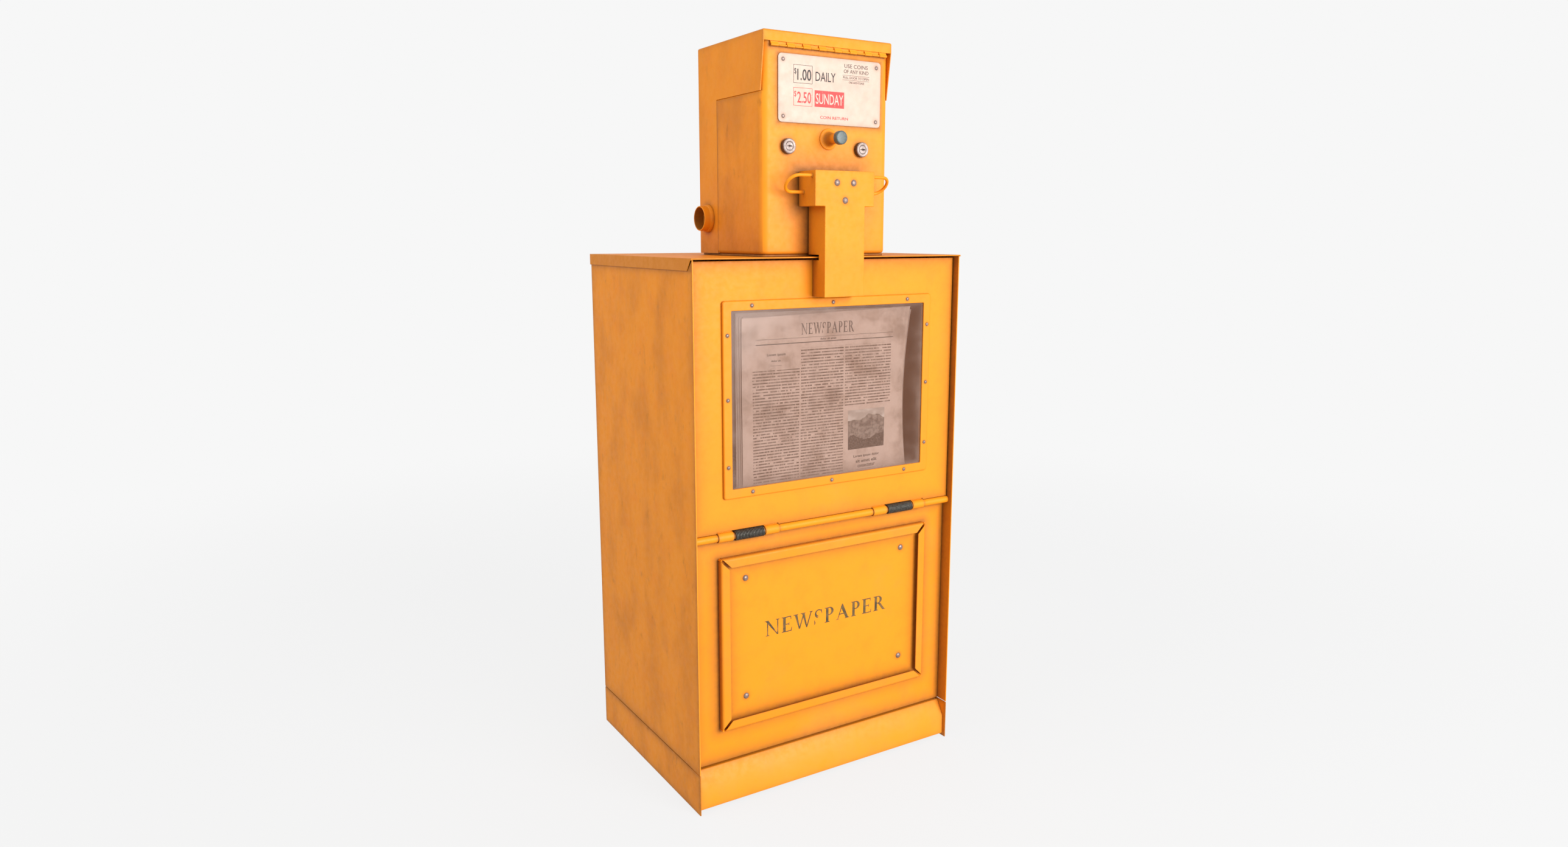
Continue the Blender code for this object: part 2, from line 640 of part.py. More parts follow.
def guard_tube(home):
    side = -BOX_HALF - GAP
    mouth = -BOX_HALF - TUBE_PROUD
    centre = (0, TUBE_Y, TUBE_Z)
    guard = lathe(
        [(0.0186, mouth), (0.0207, mouth), (0.0207, side - 0.0060), (0.0214, side - 0.0040),
         (0.0236, side - 0.0030), (0.0236, side), (0.0186, side)],
        "X", centre, 32,
    )
    add("lock_guard_tube", guard, "yellow_paint", cabinet)
    face = -BOX_HALF + 0.0050
    end = face + 0.0260
    bore = 0.0072
    body = lathe([(bore, face), (0.0120, face), (0.0120, end), (bore, end)], "X", centre, 20)
    add("vault_lock_body", body, "steel", cabinet)
    plug = lathe(
        [(0.0, face + 0.0008), (bore - GAP, face + 0.0008), (bore - GAP, end + 0.0005),
         (0.0045, end + 0.0005), (0.0045, end + 0.0070), (0.0, end + 0.0070)],
        "X", centre, 20,
    )
    plug = add("vault_lock_plug", plug, "steel", home)
    keyway = box(face - 0.01, face + 0.0040, TUBE_Y - 0.0005, TUBE_Y + 0.0005, TUBE_Z - 0.0040, TUBE_Z + 0.0040)
    carve(plug, [keyway])
    tail = rounded_rectangle(TUBE_Y - 0.0070, TUBE_Y + 0.0070, TUBE_Z - 0.0100, TUBE_Z + 0.0340, 0.0060, 3)
    cam = prism(tail, "X", end + 0.0020, end + 0.0050)
    cam = add("vault_lock_cam", cam, "galvanised", home)
    carve(cam, [rod(0.0045 + GAP, "X", centre, -0.2, 0.0, 20)])


def coin_works(home):
    """What the coin box holds: a mounting plate, the coin mechanism, its chute, the cash tray and the latch."""
    plate = add("mechanism_plate", box(-0.1000, 0.1000, 0.0620, 0.0640, 0.9075, 1.2000), "galvanised", cabinet)
    latch_window = box(-0.0080, 0.0080, 0.05, 0.08, 0.9850, 1.0480)
    side_reliefs = [box(x - 0.034, x + 0.034, 0.05, 0.08, LOCK_Z - 0.034, LOCK_Z + 0.034) for x in LOCK_X]
    carve(plate, [latch_window, *side_reliefs])

    mechanism = prism(
        [(-0.0200, 1.0900), (0.0200, 1.0900), (0.0560, 1.1300), (0.0560, 1.1950), (-0.0250, 1.1950),
         (-0.0250, 1.1100)], "Y", 0.0643, 0.1080,
    )
    mechanism = add("coin_mechanism", mechanism, "galvanised", cabinet)
    carve(mechanism, [box(0.0290, 0.0570, 0.0970, 0.1030, 1.1500, 1.2100)])

    chute = [(0.0700, 1.0880), (0.0700, 1.0560), (0.1150, 0.9900), (0.1150, 0.9650)]
    chute = prism(folded(chute, THIN), "X", 0.0140, 0.0600)
    add("coin_chute", chute, "galvanised", cabinet)

    tray = add("cash_tray", box(-0.0900, 0.0900, 0.0680, 0.1800, 0.9063, 0.9550), "galvanised", cabinet)
    carve(tray, [box(-0.0885, 0.0885, 0.0695, 0.1785, 0.9078, 0.97)])

    y, z = PAWL_PIVOT
    yoke = add("latch_yoke", box(-0.0068, 0.0068, 0.0643, 0.0980, 1.0200, 1.0520), "galvanised", cabinet)
    carve(yoke, [box(-0.0045, 0.0045, 0.05, 0.0960, 1.00, 1.07)])
    carve(yoke, [rod(0.0020, "X", (0, y, z), -0.0080, 0.0080, 12)], "UNION")
    lift = math.radians(PAWL_LIFT)
    outline = []
    for dy, dz in arc((0, 0), 0.0070, -60, 130, 6) + [(-0.0420, -0.0100), (-0.0450, -0.0275), (-0.0385, -0.0275),
                                                      (-0.0350, -0.0150)]:
        outline.append((y + dy * math.cos(lift) + dz * math.sin(lift),
                        z + dz * math.cos(lift) - dy * math.sin(lift)))
    pawl = add("latch_pawl", prism(outline, "X", -0.0040, 0.0040), "galvanised", home)
    carve(pawl, [rod(0.0023, "X", (0, y, z), -0.02, 0.02, 16)])


# ---------------------------------------------------------------------------------------------------------
# Door
# ---------------------------------------------------------------------------------------------------------
def door_sheet():
    returned = DOOR_Y + DOOR_RETURN
    path = [(DOOR_HALF, returned), (DOOR_HALF, DOOR_Y), (-DOOR_HALF, DOOR_Y), (-DOOR_HALF, returned)]
    sheet = prism(folded(path, -THIN), "Z", DOOR_BOTTOM, DOOR_TOP)
    panel = add("door_panel", sheet, "yellow_paint", door)
    opening = box(-0.1890, 0.1890, 0.0, 0.02, WINDOW_BOTTOM + WINDOW_RAIL, WINDOW_TOP - WINDOW_RAIL)
    notches = [box(low, high, 0.0, 0.05, 0.46, DOOR_NOTCH) for low, high in ((-0.2166, -0.1024), (0.0884, 0.2016))]
    carve(panel, [opening, *notches])


def window():
    """The frame is rebated at its back to hold the pane against the door sheet."""
    front = DOOR_Y - WINDOW_DEPTH
    back = DOOR_Y - GAP
    half_height = (WINDOW_TOP - WINDOW_BOTTOM) / 2
    outer = (WINDOW_HALF, half_height)
    levels = (
        (0.0, back, 0.0030), (0.0, front + 0.0022, 0.0030), (-0.0006, front + 0.0007, 0.0030),
        (-0.0022, front, 0.0030), (-WINDOW_RAIL + 0.0006, front, 0.0010),
        (-WINDOW_RAIL, front + 0.0006, 0.0010), (-WINDOW_RAIL, front + 0.0020, 0.0010),
        (-WINDOW_RAIL + 0.0045, front + 0.0020, 0.0010), (-WINDOW_RAIL + 0.0045, back, 0.0010),
    )
    shape = bmesh.new()
    rings = []
    for inset, y, radius in levels:
        a, b = outer[0] + inset, outer[1] + inset
        outline = rounded_rectangle(-a, a, WINDOW_CENTRE_Z - b, WINDOW_CENTRE_Z + b, radius, 2)
        rings.append([shape.verts.new((x, y, z)) for x, z in outline])
    for low, high in zip(rings, rings[1:] + rings[:1]):
        for i in range(len(low)):
            j = (i + 1) % len(low)
            shape.faces.new((low[i], low[j], high[j], high[i]))
    frame = add("window_frame", shape, "yellow_paint", door)

    hold = WINDOW_RAIL - 0.0045 + GAP
    pane = box(hold - WINDOW_HALF, WINDOW_HALF - hold, front + 0.0020 + GAP, back,
               WINDOW_BOTTOM + hold, WINDOW_TOP - hold)
    add("window_pane", pane, "clear_pane", door)

    middle = WINDOW_RAIL / 2
    across = [(x, z) for x in (-0.1530, 0.0, 0.1530) for z in (WINDOW_BOTTOM + middle, WINDOW_TOP - middle)]
    down = [(side * (WINDOW_HALF - middle), z) for side in (-1, 1) for z in (0.5755, 0.6830, 0.7840)]
    carve(frame, [dome(0.0032, 0.0018, x, front, z, 10) for x, z in across + down], "UNION")


def knuckles():
    """Barrels that turn on the hinge rod, each with a strap behind the door sheet."""
    spans = ((-0.2160, -0.1885), (-0.1295, -0.1030), (0.0890, 0.1175), (0.1755, 0.2010))
    inner = ROD_RADIUS + GAP
    behind = DOOR_Y + THIN + GAP
    foot = HINGE_Z + ROD_RADIUS + 0.0008
    for number, (low, high) in enumerate(spans, 1):
        barrel = tube(KNUCKLE_RADIUS, inner, "X", (0, HINGE_Y, HINGE_Z), low, high, 24)
        strap = box(low + 0.0002, high - 0.0002, behind, behind + 0.0018, foot, DOOR_BOTTOM + 0.0220)
        carve(add(f"door_knuckle_{number}", barrel, "yellow_paint", door), [strap], "UNION")


def handle():
    """The T-shaped pull: a folded shell, open at the back, notched to pass the cabinet's top."""
    outline = [
        (-HEAD_HALF, HEAD_TOP), (HEAD_HALF, HEAD_TOP), (HEAD_HALF, HEAD_BOTTOM), (COLUMN_HALF, HEAD_BOTTOM),
        (COLUMN_HALF, COLUMN_BOTTOM), (-COLUMN_HALF, COLUMN_BOTTOM), (-COLUMN_HALF, HEAD_BOTTOM),
        (-HEAD_HALF, HEAD_BOTTOM),
    ]
    shell = add("t_handle", prism(outline, "Y", HANDLE_FRONT, HANDLE_BACK), "yellow_paint", door)
    inset = [
        (-HEAD_HALF + SHEET, HEAD_TOP - SHEET), (HEAD_HALF - SHEET, HEAD_TOP - SHEET),
        (HEAD_HALF - SHEET, HEAD_BOTTOM + SHEET), (COLUMN_HALF - SHEET, HEAD_BOTTOM + SHEET),
        (COLUMN_HALF - SHEET, COLUMN_BOTTOM + SHEET), (-COLUMN_HALF + SHEET, COLUMN_BOTTOM + SHEET),
        (-COLUMN_HALF + SHEET, HEAD_BOTTOM + SHEET), (-HEAD_HALF + SHEET, HEAD_BOTTOM + SHEET),
    ]
    hollow = prism(inset, "Y", HANDLE_FRONT + SHEET, 0.05)
    below = box(-0.1, 0.1, DOOR_Y - GAP, 0.06, 0.80, DOOR_TOP + 0.0005)
    notch = box(-0.1, 0.1, -0.0052, 0.06, DOOR_TOP - 0.0003, TOP_Z + 0.0030)
    carve(shell, [hollow, below, notch])
    rivets = ((-0.0158, 1.0171), (0.0158, 1.0171), (0.0, 0.9900))
    carve(shell, [dome(0.0051, RIVET_HEIGHT, x, HANDLE_FRONT, z) for x, z in rivets], "UNION")

    centre_y, centre_z = LOOP_CENTRE
    lean = math.radians(135)
    for name, side in (("pull_loop_left", -1), ("pull_loop_right", 1)):
        start = HEAD_HALF + GAP
        bend = 0.0150
        flat = [(start, LOOP_HALF), (start + LOOP_REACH - LOOP_WIRE - bend - 0.008, LOOP_HALF)]
        corner = (start + LOOP_REACH - LOOP_WIRE - bend, LOOP_HALF - bend)
        flat += arc(corner, bend, 80, 0, 5)
        flat += [(reach, -across) for reach, across in reversed(flat)]
        path = [(side * reach, centre_y + across * math.cos(lean), centre_z + across * math.sin(lean))
                for reach, across in flat]
        add(name, sweep(path, LOOP_WIRE, 10), "yellow_paint", door)


def latch_striker():
    """A hooked bar riveted inside the pull, which reaches through the cover's slot to the pawl."""
    root = HANDLE_FRONT + SHEET + GAP
    outline = [
        (root, 0.9840), (root + 0.0030, 0.9840), (root + 0.0030, STRIKER_BOTTOM), (0.0560, STRIKER_BOTTOM),
        (0.0560, 1.0110), (0.0500, 1.0110), (0.0500, STRIKER_TOP), (root + 0.0030, STRIKER_TOP),
        (root + 0.0030, 1.0160), (root, 1.0160),
    ]
    add("latch_striker", prism(outline, "X", -0.0040, 0.0040), "galvanised", door)


def display_paper():
    """The sample paper behind the window, and the folded tray that holds it to the door."""
    back = 0.0290
    add("display_newspaper", box(-0.1750, 0.1660, 0.0185, 0.0275, 0.5020, 0.8160), "newsprint", door)
    path = [(0.0150, 0.5100), (0.0150, 0.5000), (back, 0.5000), (back, 0.6800)]
    add("paper_retainer", prism(folded(path, 0.0010), "X", -0.1600, 0.1480), "galvanised", door)


# ---------------------------------------------------------------------------------------------------------
# Assembly
# ---------------------------------------------------------------------------------------------------------
clear_scene()
materials = {name: make_material(name) for name in MATERIALS}
cabinet = make_home("cabinet")
door = make_home("door", y=HINGE_Y, z=HINGE_Z, parent=cabinet)

base()
cabinet_shell()
card_frame()
hinge()
shelf_and_papers()
coin_box()
piano_hinge()
price_plate()
for lock_side, lock_x in zip(("left", "right"), LOCK_X):
    cam_lock(lock_side, lock_x, make_home(f"lock_{lock_side}", x=lock_x, z=LOCK_Z, parent=cabinet))
return_button(make_home("button", x=BUTTON_X, z=BUTTON_Z, parent=cabinet))
guard_tube(make_home("vault_lock", y=TUBE_Y, z=TUBE_Z, parent=cabinet))
coin_works(make_home("pawl", y=PAWL_PIVOT[0], z=PAWL_PIVOT[1], parent=cabinet))
door_sheet()
knuckles()
window()
handle()
latch_striker()
display_paper()
cabinet.location = (0, -CENTRE_Y, 0)
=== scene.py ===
"""Looks of the newspaper vending box: weathered yellow enamel on folded sheet steel, a printed price plate, a sample
newspaper behind a dusty pane, and steel fittings. Pieces are drawn in metres with Y = 0 at the front edges of the
side panels, and moved to the row frame as they are finished."""

import json
import math
import random

import bmesh
import bpy
from mathutils import Matrix, Vector, noise
from mathutils.geometry import delaunay_2d_cdt

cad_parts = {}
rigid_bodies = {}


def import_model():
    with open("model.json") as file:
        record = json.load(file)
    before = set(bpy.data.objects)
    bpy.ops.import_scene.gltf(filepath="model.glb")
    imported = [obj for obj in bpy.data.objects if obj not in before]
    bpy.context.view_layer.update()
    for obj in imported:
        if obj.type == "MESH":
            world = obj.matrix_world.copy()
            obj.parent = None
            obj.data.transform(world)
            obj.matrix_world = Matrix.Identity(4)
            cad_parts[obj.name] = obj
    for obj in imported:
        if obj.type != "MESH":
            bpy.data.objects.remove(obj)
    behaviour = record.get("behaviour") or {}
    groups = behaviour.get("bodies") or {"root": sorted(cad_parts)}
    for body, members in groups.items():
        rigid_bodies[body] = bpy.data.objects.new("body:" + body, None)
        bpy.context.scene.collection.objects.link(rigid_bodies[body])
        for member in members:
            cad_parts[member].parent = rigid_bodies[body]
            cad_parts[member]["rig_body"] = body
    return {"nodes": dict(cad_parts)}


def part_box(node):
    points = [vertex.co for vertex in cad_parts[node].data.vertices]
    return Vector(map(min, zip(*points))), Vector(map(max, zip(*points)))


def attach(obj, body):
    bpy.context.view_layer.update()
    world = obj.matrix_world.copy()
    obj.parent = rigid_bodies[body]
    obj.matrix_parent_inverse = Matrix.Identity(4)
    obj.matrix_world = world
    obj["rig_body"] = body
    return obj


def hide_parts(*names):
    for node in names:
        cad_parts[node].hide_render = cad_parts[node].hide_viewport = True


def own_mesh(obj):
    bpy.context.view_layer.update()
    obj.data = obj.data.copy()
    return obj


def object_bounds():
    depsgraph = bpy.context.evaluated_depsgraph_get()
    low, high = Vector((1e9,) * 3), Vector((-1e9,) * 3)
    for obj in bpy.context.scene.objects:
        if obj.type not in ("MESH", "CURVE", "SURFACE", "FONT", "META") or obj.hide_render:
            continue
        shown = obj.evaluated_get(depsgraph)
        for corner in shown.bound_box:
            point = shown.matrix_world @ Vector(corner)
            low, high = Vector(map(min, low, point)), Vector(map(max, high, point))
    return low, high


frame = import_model()
cad_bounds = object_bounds()
chance = random.Random(7)

# --- Places ---
TO_ROW = Vector((0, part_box("side_panel_left")[0].y, 0))
SIDES = ("left", "right")


def box_of(node):
    """A CAD node's corners, with Y counted from the side panels' front edges."""
    low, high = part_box(node)
    return low - TO_ROW, high - TO_ROW


def centre_of(node):
    low, high = box_of(node)
    return (low + high) / 2


GAP = 0.0003              # between pieces that touch
THIN = 0.0015             # door furniture and coin box sheet
PRINT = 0.00012           # thickness of a printed layer
DOOR_Y = box_of("door_panel")[0].y
COVER_Y = box_of("coin_box_cover")[0].y
CARD_Y = box_of("card_plate")[1].y - 0.0012
PLATE_Y = box_of("price_plate")[1].y - 0.0015
HANDLE_Y = box_of("t_handle")[0].y + 0.0025
WINDOW_Y = DOOR_Y - 0.0050
ROD = centre_of("hinge_rod")
WING = 1.1550             # bottom of the coin box hood's side wings
WING_FRONT = 0.0344       # and how far back they start

# --- Mesh helpers ---
AXES = {"X": (1, 2), "Y": (0, 2), "Z": (0, 1)}
AXIS_TURN = {"X": Matrix.Rotation(math.radians(90), 4, "Y"), "Y": Matrix.Rotation(math.radians(-90), 4, "X")}


def bridge(mesh, low, high):
    for i in range(len(low)):
        j = (i + 1) % len(low)
        mesh.faces.new((low[i], low[j], high[j], high[i]))


def prism(outline, axis, low, high, mesh=None):
    """A closed outline, in the two axes across the given one, extruded from low to high."""
    mesh = bmesh.new() if mesh is None else mesh
    first, second = AXES[axis]
    rings = []
    for place in (low, high):
        ring = []
        for a, b in outline:
            point = [place] * 3
            point[first], point[second] = a, b
            ring.append(mesh.verts.new(point))
        mesh.faces.new(ring)
        rings.append(ring)
    bridge(mesh, *rings)
    return mesh


def block(x0, x1, y0, y1, z0, z1):
    return prism([(y0, z0), (y1, z0), (y1, z1), (y0, z1)], "X", x0, x1)


def arc(centre, radius, start, end, steps):
    """Points on an arc; angles in degrees."""
    angles = [math.radians(start + (end - start) * i / steps) for i in range(steps + 1)]
    return [(centre[0] + radius * math.cos(a), centre[1] + radius * math.sin(a)) for a in angles]


def rounded(a0, a1, b0, b1, radius, steps=6):
    corners = [(a1 - radius, b1 - radius), (a0 + radius, b1 - radius), (a0 + radius, b0 + radius),
               (a1 - radius, b0 + radius)]
    return [p for i, corner in enumerate(corners) for p in arc(corner, radius, 90 * i, 90 * i + 90, steps)]


def lathe(profile, axis, centre, sides=48, mesh=None):
    """Turns (radius, distance along axis) points round an axis: solid if it starts at radius 0, else a ring."""
    mesh = bmesh.new() if mesh is None else mesh
    turned = Matrix.Translation(Vector(centre)) @ AXIS_TURN[axis]
    angles = [2 * math.pi * i / sides for i in range(sides)]
    rings = []
    for radius, along in profile:
        spots = [(radius * math.cos(a), radius * math.sin(a), along) for a in angles] if radius else [(0, 0, along)]
        rings.append([mesh.verts.new(turned @ Vector(spot)) for spot in spots])
    pairs = list(zip(rings, rings[1:]))
    if profile[0][0] > 0.0:
        pairs.append((rings[-1], rings[0]))
    for low, high in pairs:
        for i in range(sides):
            j = (i + 1) % sides
            if len(low) == 1:
                mesh.faces.new((low[0], high[i], high[j]))
            elif len(high) == 1:
                mesh.faces.new((low[i], low[j], high[0]))
            else:
                mesh.faces.new((low[i], low[j], high[j], high[i]))
    return mesh


def pin(radius, low, high):
    """The profile of a plain round bar, for lathe."""
    return [(0.0, low), (radius, low), (radius, high), (0.0, high)]


def soften(profile, radius, steps=3):
    """Rounds the corners of a turned profile, except where it meets the axis."""
    points = [Vector(p) for p in profile]
    closed = profile[0][0] > 0.0
    out = []
    for i, point in enumerate(points):
        if not closed and i in (0, len(points) - 1):
            out.append(tuple(point))
            continue
        before, after = points[i - 1], points[(i + 1) % len(points)]
        reach = min(radius, (point - before).length * 0.45, (after - point).length * 0.45)
        start = point + (before - point).normalized() * reach
        end = point + (after - point).normalized() * reach
        for k in range(steps + 1):
            t = k / steps
            out.append(tuple((1 - t) ** 2 * start + 2 * t * (1 - t) * point + t ** 2 * end))
    return out


def sweep(path, radius, sides):
    """A round wire along a path of points, with flat ends."""
    mesh = bmesh.new()
    points = [Vector(p) for p in path]
    angles = [2 * math.pi * k / sides for k in range(sides)]
    rings, side = [], None
    for i, point in enumerate(points):
        run = (points[min(i + 1, len(points) - 1)] - points[max(i - 1, 0)]).normalized()
        side = run.orthogonal() if side is None else side - run * side.dot(run)
        side.normalize()
        up = run.cross(side)
        rings.append([mesh.verts.new(point + radius * (math.cos(a) * side + math.sin(a) * up)) for a in angles])
    for low, high in zip(rings, rings[1:]):
        bridge(mesh, low, high)
    mesh.faces.new(rings[0])
    mesh.faces.new(rings[-1])
    return mesh


def coil(axis, centre, radius, low, high, turns, steps, wire):
    """A wound spring between two places on an axis."""
    turn = Matrix.Translation(Vector(centre)) @ AXIS_TURN[axis]
    low, high, count = low + wire, high - wire, turns * steps
    path = []
    for i in range(count + 1):
        angle = 2 * math.pi * i / steps
        path.append(turn @ Vector((radius * math.cos(angle), radius * math.sin(angle), low + (high - low) * i / count)))
    return sweep(path, wire, 8)


def add_dome(mesh, radius, height, x, face, z):
    """A rivet head on a face that looks to -Y."""
    profile = [(0.0, 0.0), (radius, 0.0), (radius, -0.08 * height)]
    for degrees in (8, 25, 45, 62, 77):
        angle = math.radians(degrees)
        profile.append((radius * math.cos(angle), -height * math.sin(angle)))
    return lathe(profile + [(0.0, -height)], "Y", (x, face, z), 28, mesh)


def loft(outlines, closed=False):
    """A skin over rings of points: capped at both ends, or closed round on itself."""
    mesh = bmesh.new()
    rings = [[mesh.verts.new(point) for point in outline] for outline in outlines]
    for low, high in zip(rings, rings[1:]):
        bridge(mesh, low, high)
    if closed:
        bridge(mesh, rings[-1], rings[0])
    else:
        mesh.faces.new(rings[0])
        mesh.faces.new(rings[-1])
    return mesh


def linked(name, data):
    made = bpy.data.objects.new(name, data)
    bpy.context.scene.collection.objects.link(made)
    return made


def as_object(mesh, name="shape"):
    bmesh.ops.recalc_face_normals(mesh, faces=mesh.faces[:])
    data = bpy.data.meshes.new(name)
    mesh.to_mesh(data)
    mesh.free()
    return linked(name, data)


def final_mesh(thing):
    return bpy.data.meshes.new_from_object(thing.evaluated_get(bpy.context.evaluated_depsgraph_get()))


def carve(mesh, shapes, operation="DIFFERENCE"):
    """Cuts closed shapes from a mesh, or joins them to it."""
    base = as_object(mesh)
    tools = [as_object(shape, "tool") for shape in shapes]
    for tool in tools:
        modifier = base.modifiers.new("carve", "BOOLEAN")
        modifier.operation, modifier.solver, modifier.object = operation, "EXACT", tool
    data = final_mesh(base)
    result = bmesh.new()
    result.from_mesh(data)
    bpy.data.meshes.remove(data)
    for thing in (base, *tools):
        bpy.data.objects.remove(thing, do_unlink=True)
    return result


def bevel_edges(mesh, edges, width, segments=2):
    bmesh.ops.bevel(
        mesh, geom=edges, offset=width, segments=segments, profile=0.5, affect="EDGES", clamp_overlap=False,
    )


def bevel_sharp(mesh, width, segments=2, angle=33):
    limit = math.radians(angle)
    sharp = [e for e in mesh.edges if len(e.link_faces) == 2 and e.calc_face_angle(0.0) > limit]
    bevel_edges(mesh, sharp, width, segments)


def flatten(mesh):
    bmesh.ops.remove_doubles(mesh, verts=mesh.verts[:], dist=2e-6)
    bmesh.ops.dissolve_limit(mesh, angle_limit=math.radians(0.5), verts=mesh.verts[:], edges=mesh.edges[:])
    return mesh


def finish_piece(name, mesh, materials, body="cabinet", replaces=None, smooth=38, pick=None):
    """Turns a mesh into a piece that rides on a body, shaded smooth between its sharp edges. pick(face) gives a
    face's material number where there are several."""
    bmesh.ops.translate(mesh, verts=mesh.verts[:], vec=TO_ROW)
    bmesh.ops.recalc_face_normals(mesh, faces=mesh.faces[:])
    if pick:
        for face in mesh.faces:
            face.material_index = pick(face)
    data = bpy.data.meshes.new(name)
    mesh.to_mesh(data)
    mesh.free()
    for material in materials if isinstance(materials, list) else [materials]:
        data.materials.append(material)
    data.shade_smooth()
    data.set_sharp_from_angle(angle=math.radians(smooth))
    piece = linked(name, data)
    piece.modifiers.new("flat faces stay flat", "WEIGHTED_NORMAL").keep_sharp = True
    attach(piece, body)
    if replaces:
        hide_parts(replaces)
    return piece


def from_node(node):
    """The CAD node's mesh, welded and with its flat faces whole."""
    mesh = bmesh.new()
    mesh.from_mesh(frame["nodes"][node].data)
    bmesh.ops.translate(mesh, verts=mesh.verts[:], vec=-TO_ROW)
    return flatten(mesh)


def shave(mesh, face):
    """Cuts off what stands in front of the plane y = face, and closes the sheet there."""
    geometry = mesh.verts[:] + mesh.edges[:] + mesh.faces[:]
    cut = bmesh.ops.bisect_plane(mesh, geom=geometry, plane_co=(0, face, 0), plane_no=(0, -1, 0), clear_outer=True)
    rim = [e for e in cut["geom_cut"] if isinstance(e, bmesh.types.BMEdge)]
    bmesh.ops.triangle_fill(mesh, edges=rim, use_beauty=True, normal=(0, -1, 0))
    return flatten(mesh)


def refine(node, material, width=0.0005, segments=2, front=None, angle=33, pick=None):
    """A piece in place of a CAD node: the same solid, with its edges broken, and shaved flush at the front."""
    mesh = from_node(node)
    if front is not None:
        mesh = shave(mesh, front + 0.00001)
    bevel_sharp(mesh, width, segments, angle)
    body = frame["nodes"][node]["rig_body"]
    return finish_piece(f"{node}_sheet", mesh, material, body, node, pick=pick)


